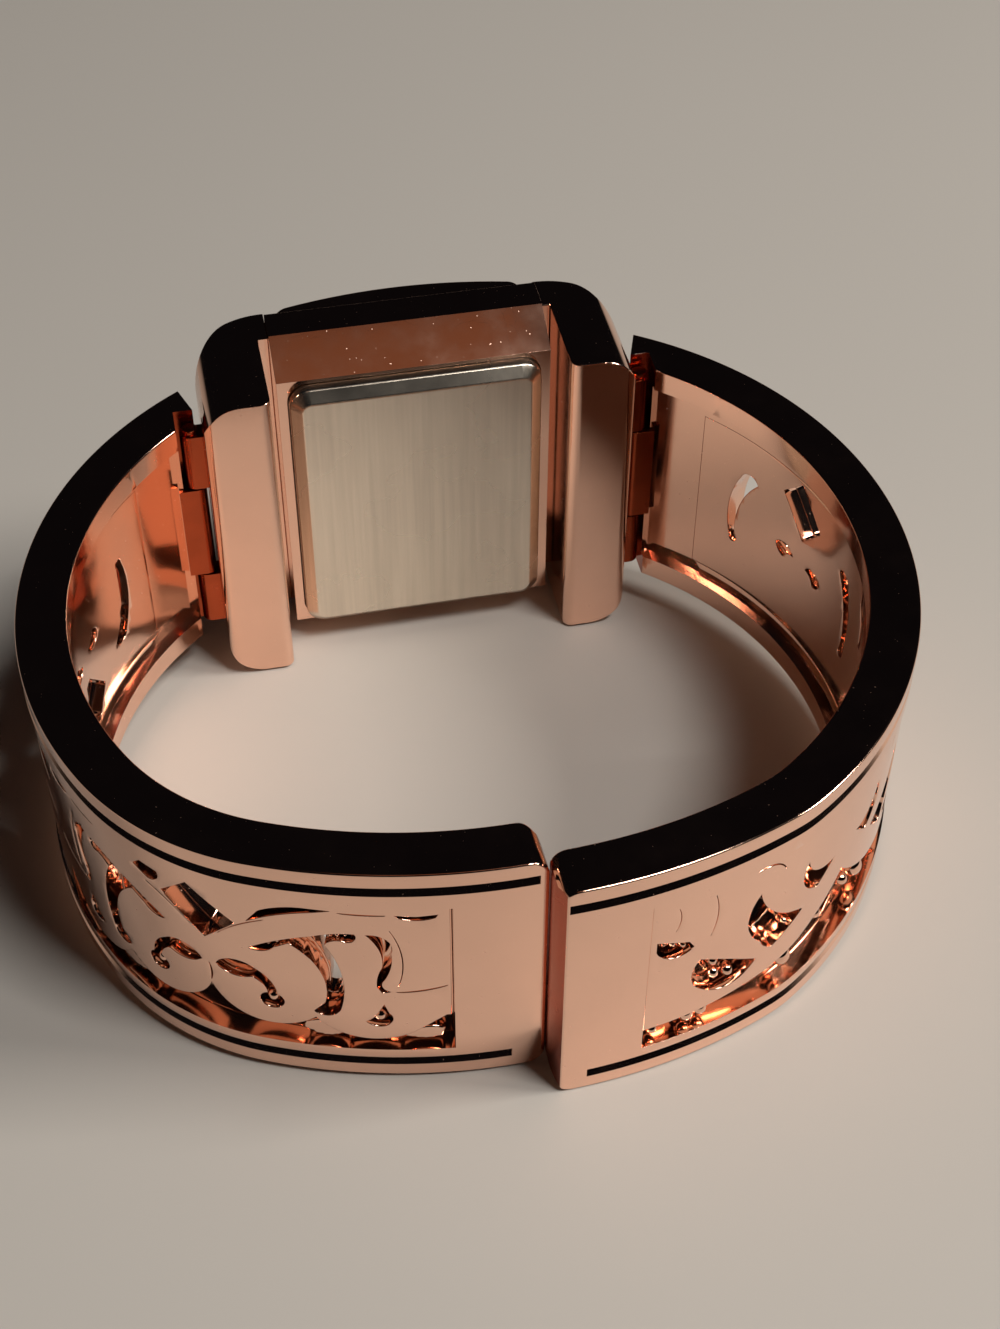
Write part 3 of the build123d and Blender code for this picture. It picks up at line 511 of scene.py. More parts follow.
def rose_gold():
    """Polished rose gold plate with slow waves, smears, fine scratches and specks of dust."""
    settings = finish_settings()
    recipe = Recipe("rose_gold")
    shader = recipe.shader
    shader.inputs["Metallic"].default_value = 1.0
    base = tuple(settings.gold_colour)
    tone = recipe.noise(scale=90, detail=3)
    colour = recipe.ramp(tone, ((0.35, shades(base, 0.94)), (0.65, base)))
    recipe.link(colour, shader.inputs["Base Color"])
    smear = recipe.noise(scale=260, detail=4, roughness=0.6)
    polish = recipe.range(smear, 0.35, 0.75, settings.gold_roughness, settings.gold_roughness * 2.0)
    dust = recipe.range(recipe.noise(scale=4200, detail=1), 0.76, 0.79, 0.0, 0.35)
    roughness = recipe.node("ShaderNodeMath", operation="MAXIMUM")
    recipe.link(polish, roughness.inputs[0])
    recipe.link(dust, roughness.inputs[1])
    recipe.link(roughness.outputs[0], shader.inputs["Roughness"])
    waves = recipe.bump(recipe.noise(scale=220, detail=1), strength=0.25, distance=0.02 * MM)
    scratches = recipe.node("ShaderNodeTexVoronoi", feature="DISTANCE_TO_EDGE", Scale=900)
    recipe.link(recipe.place((1, 0.12, 1)), scratches.inputs["Vector"])
    thin = recipe.range(scratches.outputs["Distance"], 0.0, 0.02, 0.0, 1.0)
    recipe.link(recipe.bump(thin, 0.06, 0.004 * MM, waves), shader.inputs["Normal"])
    return recipe.material


def painted_shade_gold():
    """A darker, redder copy of the rose gold: painted shade and painted reflection for the hinge line and the
    gap.
    """
    recipe = Recipe("painted_shade_rose_gold")
    recipe.shader.inputs["Metallic"].default_value = 1.0
    base = shades(finish_settings().gold_colour, 0.5)
    shaded_red = (base[0], base[1] * 0.3, base[2] * 0.15)
    tone = recipe.noise(scale=300, detail=2)
    colour = recipe.ramp(tone, ((0.3, shades(shaded_red, 0.8)), (0.7, shaded_red)))
    recipe.link(colour, recipe.shader.inputs["Base Color"])
    recipe.link(recipe.range(tone, 0.3, 0.7, 0.18, 0.3), recipe.shader.inputs["Roughness"])
    return recipe.material


def brushed_steel():
    """Steel of the back, finely brushed along the wrist's axis."""
    recipe = Recipe("brushed_steel")
    shader = recipe.shader
    shader.inputs["Metallic"].default_value = 1.0
    base = tuple(finish_settings().steel_colour)
    lines = recipe.noise(scale=2400, detail=3, stretch=(1, 1, 0.03))
    colour = recipe.ramp(lines, ((0.3, shades(base, 0.92)), (0.7, shades(base, 1.05))))
    recipe.link(colour, shader.inputs["Base Color"])
    cloud = recipe.noise(scale=120, detail=3)
    recipe.link(recipe.range(cloud, 0.3, 0.7, 0.2, 0.32), shader.inputs["Roughness"])
    recipe.link(recipe.bump(lines, 0.12, 0.006 * MM), shader.inputs["Normal"])
    return recipe.material


def plain_metal(name, colour, roughness):
    """A turned metal of the movement."""
    recipe = Recipe(name)
    recipe.shader.inputs["Metallic"].default_value = 1.0
    rings = recipe.noise(scale=1800, detail=2, stretch=(1, 0.2, 1))
    tone = recipe.ramp(rings, ((0.3, shades(colour, 0.9)), (0.7, colour)))
    recipe.link(tone, recipe.shader.inputs["Base Color"])
    polish = recipe.range(rings, 0.2, 0.8, roughness, roughness * 1.5)
    recipe.link(polish, recipe.shader.inputs["Roughness"])
    return recipe.material


def plain_solid(name, colour, roughness):
    """A lacquer, plastic or rubber with a fine grain."""
    recipe = Recipe(name)
    speckle = recipe.noise(scale=600, detail=3)
    tone = recipe.ramp(speckle, ((0.3, shades(colour, 0.94)), (0.7, colour)))
    recipe.link(tone, recipe.shader.inputs["Base Color"])
    polish = recipe.range(speckle, 0.2, 0.8, roughness * 0.9, roughness * 1.1)
    recipe.link(polish, recipe.shader.inputs["Roughness"])
    recipe.link(recipe.bump(speckle, 0.1, 0.005 * MM), recipe.shader.inputs["Normal"])
    return recipe.material


def crystal_glass():
    """Clear mineral glass."""
    recipe = Recipe("crystal_glass")
    shader = recipe.shader
    shader.inputs["Transmission Weight"].default_value = 1.0
    shader.inputs["IOR"].default_value = 1.5
    dust = recipe.noise(scale=700, detail=2)
    recipe.link(recipe.range(dust, 0.6, 0.9, 0.0, 0.05), shader.inputs["Roughness"])
    return recipe.material


RECIPES = {
    "rose_gold": rose_gold,
    # Painted shade: the darker, redder copy of the gold for the hinge line and the gap
    "painted_shade_gold": painted_shade_gold,
    "steel": brushed_steel,
    "glass": crystal_glass,
    "dial": lambda: plain_solid("dial_lacquer", (0.80, 0.77, 0.71), 0.3),
    "rubber": lambda: plain_solid("seal_rubber", (0.02, 0.02, 0.02), 0.6),
    "plastic": lambda: plain_solid("holder_plastic", (0.74, 0.73, 0.70), 0.45),
    "board": lambda: plain_solid("board_laminate", (0.02, 0.12, 0.05), 0.35),
    "brass": lambda: plain_metal("movement_brass", (0.80, 0.62, 0.32), 0.22),
    "copper": lambda: plain_metal("copper_wire", (0.72, 0.30, 0.15), 0.3),
    "bright_steel": lambda: plain_metal("bright_steel", (0.62, 0.61, 0.59), 0.16),
}
MATERIALS = {}


def material(name):
    """A material of the watch, made once."""
    if name not in MATERIALS:
        MATERIALS[name] = RECIPES[name]()
    return MATERIALS[name]


# Arms


def arm_blank(side, length):
    """The blank of an arm, laid out flat, with its slanted and rounded gap end."""
    facet, depth = END_FACETS[side]
    corners = ((facet, 0), (length, 0), (length, ARM_THICKNESS), (0, ARM_THICKNESS), (0, depth))
    plan = prism(corners, ARM_BOTTOM, ARM_TOP)
    rounded(plan, edges_along(plan, 2, lambda m: m.x < OVERRUN and m.y < NEAR), OUTER_CORNER, 6)
    inner = edges_along(plan, 2, lambda m: m.x < OVERRUN and m.y > ARM_THICKNESS - NEAR)
    rounded(plan, inner, INNER_CORNERS[side], 10)
    elevation = block((0, -OVERRUN, ARM_BOTTOM), (length + OVERRUN, ARM_THICKNESS + OVERRUN, ARM_TOP))
    rounded(elevation, edges_along(elevation, 1, lambda m: m.x < OVERRUN), ELEVATION_CORNER, 8)
    return combined(plan, [elevation], "INTERSECT")


def sharp_edges(bm, angle):
    """The edges where two faces meet at more than an angle in degrees."""
    return [edge for edge in bm.edges if edge.is_manifold and edge.calc_face_angle(0) > radians(angle)]


def groove(start, length, bottom, top):
    """The cutter of a groove that is deep under the lip and runs out below, with a blunt end near the gap."""
    cutter = block((start, -OVERRUN, bottom), (length + OVERRUN, GROOVE_DEPTH, top))
    rise = top - GROOVE_FLAT - bottom
    for vert in cutter.verts:
        if vert.co.z < (bottom + top) / 2:
            vert.co.z += rise if vert.co.y > 0 else -rise * OVERRUN / GROOVE_DEPTH
    return cutter


def arm_trims(side):
    """What the arm leaves free at its hinge end: the slanted end over the bar and the knuckles' zone."""
    foot_x = BAR_OUTER_X + ARM_END_GAP
    foot_y = HINGE_Y + KNUCKLE_RADIUS + KNUCKLE_CLEAR
    run = ARM_THICKNESS * 3
    top_y = foot_y + run * cos(radians(ARM_END_ANGLE))
    top_x = foot_x + run * sin(radians(ARM_END_ANGLE))
    end_x = HINGE_X + ARM_END_CLEAR
    low_y = foot_y - 2 * ARM_THICKNESS
    plans = (
        ((foot_x, foot_y), (top_x, top_y), (0, top_y), (0, foot_y)),
        ((0, low_y), (end_x, low_y), (end_x, foot_y), (0, foot_y)),
    )
    return [
        prism([(side * x, y) for x, y in plan], -OVERRUN, HEAD_HIGH.z + OVERRUN) for plan in plans
    ]


def arm_frame_mesh(side):
    """One arm's frame: blank, window, grooves, inner recess, trimmed hinge end and knuckle."""
    arcs = arm_arcs(side)
    total = curve_length(arcs)
    length = total + ARM_THICKNESS
    blank = arm_blank(side, length)
    rounded(blank, sharp_edges(blank, SHARP_ANGLE), finish_settings().edge_round / MM, 3)
    cutters = [
        block(
            (GAP_PLATE, -OVERRUN, WINDOW_BOTTOM),
            (total - HINGE_PLATE, ARM_THICKNESS + OVERRUN, WINDOW_TOP),
        ),
        groove(UPPER_GROOVE_STOP, length, ARM_TOP - LIP_WIDTH - GROOVE_WIDTH, ARM_TOP - LIP_WIDTH),
        groove(LOWER_GROOVE_STOP, length, ARM_BOTTOM + LIP_WIDTH, ARM_BOTTOM + LIP_WIDTH + GROOVE_WIDTH),
        block(
            (GAP_PLATE / 2, ARM_THICKNESS - RECESS_DEPTH, ARM_BOTTOM + RIM_WIDTH),
            (total - RIM_END, ARM_THICKNESS + OVERRUN, ARM_TOP - RIM_WIDTH),
        ),
    ]
    flat = combined(blank, cutters, "DIFFERENCE")
    curved = bent(sliced(flat, 0, length), side)
    curved = combined(curved, arm_trims(side), "DIFFERENCE")
    spot = (side * HINGE_X, HINGE_Y, MIDDLE_Z)
    knuckle = upright_rod(KNUCKLE_RADIUS, KNUCKLE_LENGTH, 40, spot)
    bore = upright_rod(PIN_BORE, KNUCKLE_LENGTH + OVERRUN, 24, spot)
    near_x, far_x = sorted((side * HINGE_X, side * (HINGE_X + ARM_END_CLEAR + WEB_LAP)))
    web = block(
        (near_x, HINGE_Y - KNUCKLE_RADIUS, MIDDLE_Z - KNUCKLE_LENGTH / 2),
        (far_x, HINGE_Y + KNUCKLE_RADIUS, MIDDLE_Z + KNUCKLE_LENGTH / 2),
    )
    whole = combined(curved, [knuckle, web], "UNION")
    return combined(whole, [bore], "DIFFERENCE")


# Scroll pattern. Each outline is in millimetres from a springing point, along the arm and up.

STRAIGHT = 1e-6
LINE_END_SHARE = 0.35


def arc_points(start, through, end, count=10):
    """Points on the arc through three points, without the last one."""
    ax, ay = start
    bx, by = through
    cx, cy = end
    d = 2 * (ax * (by - cy) + bx * (cy - ay) + cx * (ay - by))
    if abs(d) < STRAIGHT:
        return [start]
    ux = ((ax**2 + ay**2) * (by - cy) + (bx**2 + by**2) * (cy - ay) + (cx**2 + cy**2) * (ay - by)) / d
    uy = ((ax**2 + ay**2) * (cx - bx) + (bx**2 + by**2) * (ax - cx) + (cx**2 + cy**2) * (bx - ax)) / d
    radius = ((ax - ux) ** 2 + (ay - uy) ** 2) ** 0.5
    first = atan2(ay - uy, ax - ux)
    middle = atan2(by - uy, bx - ux)
    last = atan2(cy - uy, cx - ux)
    turn = (last - first) % (2 * pi)
    if (middle - first) % (2 * pi) > turn:
        turn -= 2 * pi
    return [
        (ux + radius * cos(first + turn * i / count), uy + radius * sin(first + turn * i / count))
        for i in range(count)
    ]


def outline(*runs):
    """A closed outline from runs: a corner point, or the start and middle of an arc to the next run."""
    points = []
    for index, run in enumerate(runs):
        if isinstance(run[0], tuple):
            following = runs[(index + 1) % len(runs)]
            end = following[0] if isinstance(following[0], tuple) else following
            points += arc_points(run[0], run[1], end)
        else:
            points.append(run)
    return points


def chased_line(start, middle, end, width):
    """The outline of a fine line that follows an arc and thins out at its ends."""
    spine = arc_points(start, middle, end, 12) + [end]
    left = []
    right = []
    for index, (x, y) in enumerate(spine):
        before = spine[max(index - 1, 0)]
        after = spine[min(index + 1, len(spine) - 1)]
        dx, dy = after[0] - before[0], after[1] - before[1]
        run = (dx * dx + dy * dy) ** 0.5
        swell = sin(pi * index / (len(spine) - 1))
        half = width / 2 * (LINE_END_SHARE + (1 - LINE_END_SHARE) * swell)
        left.append((x - dy / run * half, y + dx / run * half))
        right.append((x + dy / run * half, y - dx / run * half))
    return left + right[::-1]


# Holes that go right through the panel
DIAMOND = outline((-3.1, 5.35), (-0.9, 7.35), (2.35, 4.55), (0.0, 2.15))
COMMA = outline(((0.9, -0.2), (2.5, 0.4)), ((3.3, -0.1), (2.9, -0.75)), ((2.2, -1.0), (1.7, -0.4)))
LEAF = outline(((6.15, 3.8), (7.6, 4.25)), ((8.15, 3.6), (9.15, 0.4)), ((8.75, -2.9), (8.5, -3.3)),
               ((8.2, -2.6), (8.0, 0.7)))
TOP_LEAF = outline(((11.15, 4.7), (12.0, 4.5)), ((12.45, 3.5), (12.5, 2.4)), ((12.15, 1.4), (12.1, 3.1)))
# Pockets around the holes and between the lobes, which stop at the back layer
COMMA_POCKET = outline(((0.5, -0.55), (1.7, 0.45)), ((3.4, -0.05), (4.4, -1.2)), ((4.75, -2.55), (5.2, -3.3)),
                       ((4.4, -4.15), (3.5, -3.3)), ((4.1, -2.5), (3.75, -1.6)), ((3.1, -1.0), (1.9, -1.3)))
LEAF_POCKET = outline(((3.1, 2.2), (5.6, 3.7)), ((7.5, 4.4), (8.9, 4.85)), ((10.3, 4.95), (10.4, 4.6)),
                      ((9.5, 4.15), (8.8, 4.1)), ((8.3, 3.6), (9.3, 0.4)), ((9.1, -3.3), (8.6, -4.1)),
                      (7.2, -3.9), ((8.05, -2.8), (7.85, 0.7)), ((5.9, 3.4), (5.3, 3.0)),
                      ((4.9, 2.75), (3.9, 2.1)))
TOP_POCKET = outline(((11.0, 4.9), (12.2, 4.6)), ((12.65, 3.0), (12.6, 1.6)), ((12.1, 0.0), (11.95, -0.7)),
                     (12.6, -1.25), (11.9, -1.35), ((11.6, -0.8), (11.65, 0.2)), ((12.0, 1.4), (11.9, 3.2)))
BALL_SLOT = outline((12.0, -2.7), ((12.3, -3.7), (12.55, -4.4)), ((11.7, -5.2), (10.9, -4.9)), (10.7, -4.7),
                    ((11.2, -4.3), (11.6, -3.6)))
TOP_NOTCH = outline((3.2, 5.1), ((4.1, 6.4), (5.3, 7.0)), (7.0, 7.3), (8.8, 7.25), ((7.4, 6.9), (5.4, 6.3)))
SIDE_NICK = outline((-4.6, 7.3), ((-3.2, 7.1), (-3.6, 6.0)), (-4.1, 5.9), (-5.3, 6.6))
CORNER_NOTCH = outline((12.9, 7.0), ((13.2, 6.75), (14.2, 6.5)), (15.6, 6.7), (15.8, 7.0),
                       ((14.4, 6.85), (13.4, 6.95)))
POCKETS = (COMMA_POCKET, LEAF_POCKET, TOP_POCKET, BALL_SLOT)
# Fine chased lines and notches of the lobes' groups, the last ones around the springing point
LOBE_MARKS = (
    CORNER_NOTCH,
    chased_line((12.85, -1.28), (14.4, -1.15), (16.3, -0.65), 0.1),
    chased_line((12.6, 5.4), (13.3, 3.0), (13.0, -0.7), 0.06),
    chased_line((1.0, 3.0), (2.6, 4.5), (4.4, 5.5), 0.05),
    chased_line((9.3, 7.1), (11.0, 7.0), (12.4, 7.0), 0.08),
)
SPRINGING_MARKS = (TOP_NOTCH, SIDE_NICK, chased_line((0.0, -0.7), (0.12, -1.7), (0.0, -2.6), 0.14))
# The beads that stand in each pocket, as place and radius
LEAF_BEADS = ((5.1, 3.2, 0.27), (4.5, 2.85, 0.22), (9.15, 4.52, 0.27), (9.7, 4.58, 0.22), (8.6, 4.42, 0.2))
BEADS = (
    (COMMA_POCKET, ((4.35, -3.35, 0.5),)),
    (BALL_SLOT, ((11.7, -4.5, 0.52),)),
    (LEAF_POCKET, LEAF_BEADS),
)
BEAD_TOP = 0.3
BEAD_DEPTH_SHARE = 0.55
LOBE_EDGE = arc_points((0.0, -2.9), (3.4, -5.9), (7.3, -4.6), 16) + arc_points(
    (7.3, -4.6), (11.0, -6.7), (14.4, -5.5), 16) + [(14.4, -5.5), (16.2, -4.0)]
LENSES = (
    outline(((6.2, -6.3), (7.6, -5.25)), ((9.4, -6.5), (7.8, -7.1))),
    outline(((13.2, -6.75), (15.0, -5.7)), ((16.1, -6.0), (16.0, -6.6)), ((15.9, -6.9), (14.6, -7.1))),
)
LENS_TOP = 0.45
LENS_ROUNDING = 3
CORNER_REACH = 1.0
END_MARGIN = 0.25
# On the right arm's first group the ditch lies under the band instead of the lobes
BAND_EDGE = arc_points((0.0, 0.1), (4.0, 3.3), (9.6, 5.3), 16) + arc_points(
    (9.6, 5.3), (13.0, 5.8), (16.2, 5.95), 8) + [(16.2, 5.95)]
BAND_LEAF = outline(((8.75, -4.2), (9.4, -2.0)), ((8.2, 0.9), (7.3, 0.3)), ((6.4, -0.5), (7.8, -2.0)))
BAND_POCKETS = (
    outline(((8.8, -4.45), (9.6, -2.0)), ((8.3, 1.0), (7.9, 1.8)), (7.2, 2.3), (4.6, 0.1),
            ((6.1, -0.6), (7.7, -2.0))),
    outline(((4.6, -4.8), (4.8, -2.6)), (3.2, -1.05), ((1.5, -2.6), (3.6, -3.1))),
    outline(((13.2, -0.1), (13.7, 2.0)), ((12.5, 3.7), (11.0, 4.3)), ((9.5, 3.9), (9.0, 3.4)), (8.5, 2.8),
            ((9.9, 1.9), (11.4, 0.9))),
    outline((16.6, -3.6), (14.2, -2.6), ((13.8, -1.9), (14.4, -1.5)), (16.6, -2.6)),
    chased_line((12.5, -6.6), (12.2, -4.5), (12.6, -2.4), 0.05),
    chased_line((9.3, -7.1), (7.9, -7.0), (6.9, -5.9), 0.12),
    chased_line((15.2, -6.6), (15.0, -5.4), (15.3, -4.3), 0.04),
)
BAND_BEADS = (
    (5.2, 5.7, 0.8), (12.4, 6.6, 0.62), (13.5, 6.7, 0.62), (16.2, 6.8, 0.45),
    (11.9, 1.3, 0.42), (11.7, 2.8, 0.45), (10.5, 3.3, 0.5), (14.5, -2.1, 0.34),
    (15.3, -2.6, 0.3), (16.0, -2.9, 0.22), (1.9, 3.6, 0.5), (6.0, 0.7, 0.3),
)
# Where the groups spring from, as shares of an arm's length, and the slits around the front layer
SPRINGING_SHARES = (0.303, 0.745)
GAP_SLITS = {-1: 0.22, 1: 0.08}
TOP_SLIT = 0.04


def scroll_groups(side):
    """Springing distance, turn and kind of ditch of each group of the scroll on one arm."""
    total = curve_length(arm_arcs(side))
    for turn, share in zip((-side, side), SPRINGING_SHARES):
        yield total * share, turn, not (side > 0 and turn < 0)


def placed(points, start, way, turn):
    """An outline put in its place on the flat panel."""
    return [(start + way * x, WINDOW_MIDDLE + turn * y) for x, y in points]


def fits(points, reach):
    """Whether an outline stays inside its half of the panel."""
    return max(x for x, y in points) < reach - END_MARGIN


def ditch_half(points, rim, reach):
    """Half the edge of a ditch, from the springing point outwards as far as the panel reaches."""
    corner = points[-1]
    if reach > corner[0] + CORNER_REACH:
        return points + [(corner[0], rim)]
    if reach > corner[0]:
        return points + [(reach, corner[1])]
    kept = [point for point in points if point[0] < reach]
    (x0, y0), (x1, y1) = kept[-1], points[len(kept)]
    return kept + [(reach, y0 + (y1 - y0) * (reach - x0) / (x1 - x0))]


def front_outline(side):
    """The outline of the front layer: a rectangle that the ditches cut into."""
    total = curve_length(arm_arcs(side))
    low, high = GAP_PLATE + GAP_SLITS[side], total - HINGE_PLATE
    lines = {-1: [], 1: []}
    for spring, turn, lobes in scroll_groups(side):
        shape, rim = (LOBE_EDGE, -WINDOW_HALF) if lobes else (BAND_EDGE, WINDOW_HALF)
        left = ditch_half(shape, rim, spring - low)[::-1]
        right = ditch_half(shape, rim, high - spring)[1:]
        line = [(spring - x, y) for x, y in left] + [(spring + x, y) for x, y in right]
        lines[1 if turn * rim > 0 else -1] += [(x, WINDOW_MIDDLE + turn * y) for x, y in line]
    for line, edge in ((lines[-1], WINDOW_BOTTOM), (lines[1], WINDOW_TOP - TOP_SLIT)):
        if not line or line[0][0] > low + NEAR:
            line.insert(0, (low, edge))
        if line[-1][0] < high - NEAR:
            line.append((high, edge))
    return lines[-1] + [(x, min(y, WINDOW_TOP - TOP_SLIT)) for x, y in reversed(lines[1])]


def bead(x, y, radius):
    """A round-headed stud on the back layer."""
    bm = bmesh.new()
    bmesh.ops.create_uvsphere(bm, u_segments=20, v_segments=14, radius=1.0)
    half = (LAYER_DEPTH - BEAD_TOP) * BEAD_DEPTH_SHARE
    bmesh.ops.scale(bm, vec=(radius, half, radius), verts=bm.verts)
    bmesh.ops.translate(bm, vec=(x, BEAD_TOP + half, y), verts=bm.verts)
    return bm


def scroll_panel_mesh(side):
    """One scroll panel: a pierced back layer, the lobes and bands in front, their beads and lenses."""
    total = curve_length(arm_arcs(side))
    start, stop = GAP_PLATE, total - HINGE_PLATE
    edge = finish_settings().relief_round / MM
    holes = []
    pockets = []
    studs = []
    for spring, turn, lobes in scroll_groups(side):
        for way, reach in ((-1, spring - start), (1, stop - spring)):
            through, marks, beads, lenses = [BAND_LEAF], list(BAND_POCKETS), list(BAND_BEADS), ()
            if lobes:
                through, marks, lenses = [COMMA, LEAF, TOP_LEAF], LOBE_MARKS + POCKETS, LENSES
                beads = [spot for pocket, spots in BEADS if fits(pocket, reach) for spot in spots]
            if way < 0:
                through.append(DIAMOND)
                marks = [*marks, DIAMOND, *SPRINGING_MARKS] if lobes else marks
            holes += [placed(shape, spring, way, turn) for shape in through if fits(shape, reach)]
            pockets += [placed(shape, spring, way, turn) for shape in marks if fits(shape, reach)]
            for shape in lenses:
                if fits(shape, reach):
                    lens = [placed(shape, spring, way, turn)]
                    studs.append(plate(lens, LENS_TOP, LAYER_DEPTH + LAYER_LAP, edge * LENS_ROUNDING))
            for x, y, radius in beads:
                (spot,) = placed([(x, y)], spring, way, turn)
                studs.append(bead(*spot, radius))
    rectangle = [(start, WINDOW_BOTTOM), (stop, WINDOW_BOTTOM), (stop, WINDOW_TOP), (start, WINDOW_TOP)]
    back = plate([rectangle] + holes, LAYER_DEPTH, ARM_THICKNESS - RECESS_DEPTH, edge)
    front = plate([front_outline(side)] + pockets, PANEL_INSET, LAYER_DEPTH + LAYER_LAP, edge)
    return bent(sliced(joined([back, front] + studs), start, stop), side)


# Operators, one for each piece or group of like pieces

# Where the painted shade ends around the hinge line, in millimetres, and which faces look into the gap
SHADE_MARGIN = 0.02
SHADE_BELOW = 0.05
SHADE_ABOVE = 0.4
GAP_FACING = 0.9


def paint_hinge_shade(piece):
    """Gives the faces of a piece in the hinge line, and an arm's faces at the gap, the painted shade: a
    darker, redder copy of the gold.
    """
    piece.data.materials.append(material("painted_shade_gold"))
    for face in piece.data.polygons:
        across = abs(face.center.x) / MM
        along = face.center.y / MM - HINGE_Y
        between = BAR_OUTER_X + SHADE_MARGIN < across < HINGE_X + ARM_END_CLEAR + SHADE_MARGIN
        in_hinge = between and -KNUCKLE_RADIUS - SHADE_BELOW < along < KNUCKLE_RADIUS + SHADE_ABOVE
        at_gap = across < END_FACETS[1][0] and abs(face.normal.x) > GAP_FACING
        if in_hinge or at_gap:
            face.material_index = 1


class WATCH_OT_arm_frames(bpy.types.Operator):
    """Models the two arm frames"""

    bl_idname = "watch.arm_frames"
    bl_label = "Arm frames"

    def execute(self, context):
        for side, name in ((-1, "left"), (1, "right")):
            piece = finished(
                arm_frame_mesh(side), f"{name}_arm_frame_polished", f"{name}_arm", f"{name}_arm_frame",
                material("rose_gold"),
            )
            softened(piece, FRAME_ROUND, 2)
            # The hinge line and the gap end get the painted shade, a darker, redder copy of the gold
            paint_hinge_shade(piece)
        return {"FINISHED"}


class WATCH_OT_scroll_panels(bpy.types.Operator):
    """Models the two pierced scroll panels"""

    bl_idname = "watch.scroll_panels"
    bl_label = "Scroll panels"

    def execute(self, context):
        for side, name in ((-1, "left"), (1, "right")):
            panel = finished(
                scroll_panel_mesh(side), f"{name}_scroll_panel_chased", f"{name}_arm",
                f"{name}_scroll_panel", material("rose_gold"),
            )
            flattened(panel)
        return {"FINISHED"}


class WATCH_OT_side_bars(bpy.types.Operator):
    """Polishes the two side bars"""

    bl_idname = "watch.side_bars"
    bl_label = "Side bars"

    def execute(self, context):
        for node in ("left_side_bar", "right_side_bar"):
            piece = refined(node, material("rose_gold"), BAR_ROUND)
            piece.modifiers["merge"].delimit = {"MATERIAL"}
            # The faces in the hinge line get the painted shade, a darker, redder copy of the gold
            paint_hinge_shade(piece)
        return {"FINISHED"}


class WATCH_OT_hinges(bpy.types.Operator):
    """Finishes the hinge pins and their springs"""

    bl_idname = "watch.hinges"
    bl_label = "Hinge pins and springs"

    def execute(self, context):
        for side in ("left", "right"):
            # The pins take the painted shade of the hinge line, a darker, redder copy of the gold
            refined(f"{side}_hinge_pin", material("painted_shade_gold"), PIN_ROUND)
            dress(frame["nodes"][f"{side}_hinge_spring"], material("bright_steel"))
        return {"FINISHED"}


class WATCH_OT_case(bpy.types.Operator):
    """Polishes the case body"""

    bl_idname = "watch.case"
    bl_label = "Case body"

    def execute(self, context):
        refined("case_body", material("rose_gold"), CASE_ROUND)
        return {"FINISHED"}


class WATCH_OT_case_back(bpy.types.Operator):
    """Finishes the steel case back, which stays bare"""

    bl_idname = "watch.case_back"
    bl_label = "Case back"

    def execute(self, context):
        refined("case_back", material("steel"), BACK_ROUND)
        return {"FINISHED"}


class WATCH_OT_front(bpy.types.Operator):
    """Polishes the bezel and clears the crystal"""

    bl_idname = "watch.front"
    bl_label = "Bezel and crystal"

    def execute(self, context):
        refined("bezel", material("rose_gold"), CASE_ROUND)
        refined("crystal", material("glass"), CRYSTAL_ROUND)
        return {"FINISHED"}


class WATCH_OT_dial(bpy.types.Operator):
    """Finishes the dial, its flange, markers and hands"""

    bl_idname = "watch.dial"
    bl_label = "Dial and hands"

    def execute(self, context):
        for node in ("dial", "dial_flange"):
            dress(frame["nodes"][node], material("dial"))
        for node in ("hour_markers", "hour_hand", "minute_hand"):
            refined(node, material("rose_gold"), HAND_ROUND)
        return {"FINISHED"}


class WATCH_OT_crown(bpy.types.Operator):
    """Finishes the crown with its tube, stem and lever"""

    bl_idname = "watch.crown"
    bl_label = "Crown and stem"

    def execute(self, context):
        refined("crown", material("rose_gold"), CROWN_ROUND)
        for node in ("crown_tube", "stem", "setting_lever"):
            dress(frame["nodes"][node], material("bright_steel"))
        return {"FINISHED"}


class WATCH_OT_seals(bpy.types.Operator):
    """Finishes the seals and the movement's holder"""

    bl_idname = "watch.seals"
    bl_label = "Seals and holder"

    def execute(self, context):
        for node in ("crystal_gasket", "case_back_gasket", "crown_gasket"):
            dress(frame["nodes"][node], material("rubber"))
        dress(frame["nodes"]["movement_holder"], material("plastic"))
        return {"FINISHED"}


class WATCH_OT_movement(bpy.types.Operator):
    """Finishes the quartz movement"""

    bl_idname = "watch.movement"
    bl_label = "Movement"

    def execute(self, context):
        finishes = {
            "brass": (
                "main_plate", "train_bridge", "centre_wheel", "third_wheel", "minute_wheel", "hour_wheel",
            ),
            "copper": ("coil",),
            "board": ("circuit_board",),
            "bright_steel": ("battery", "battery_clamp", "bridge_screws", "stator", "rotor"),
        }
        for finish, nodes in finishes.items():
            for node in nodes:
                refined(node, material(finish), MOVEMENT_ROUND, segments=1)
        return {"FINISHED"}


class WATCH_OT_stage(bpy.types.Operator):
    """Lays the floor, hangs the lights and sets the camera"""

    bl_idname = "watch.stage"
    bl_label = "Stage"

    def execute(self, context):
        lay_floor()
        hang_lights()
        set_camera()
        return {"FINISHED"}


# Stage. The floor and the camera are in millimetres and degrees, the lamps in metres.

FLOOR_HALF = 3000.0
FLOOR_DROP = 0.02
REST_LINE = HEAD_LOW.y + 3.4
REST_TILT = 3.86
KEY_SPOT = (0.55, -0.12, 0.50)
CEILING_SPOT = (0.27, -0.27, 0.76)
GLOW_SPOT = (0.0, -0.30, 1.00)
LAMP_SIZE = 0.20
GLOW_SIZE = 0.40
GLOW_POWER = 0.08
CAMERA_SPOT = (-20.3, -108.26, 129.09)
CAMERA_TURN = 11.88
CAMERA_DOWN = 45.9
CAMERA_ROLL = 0.3


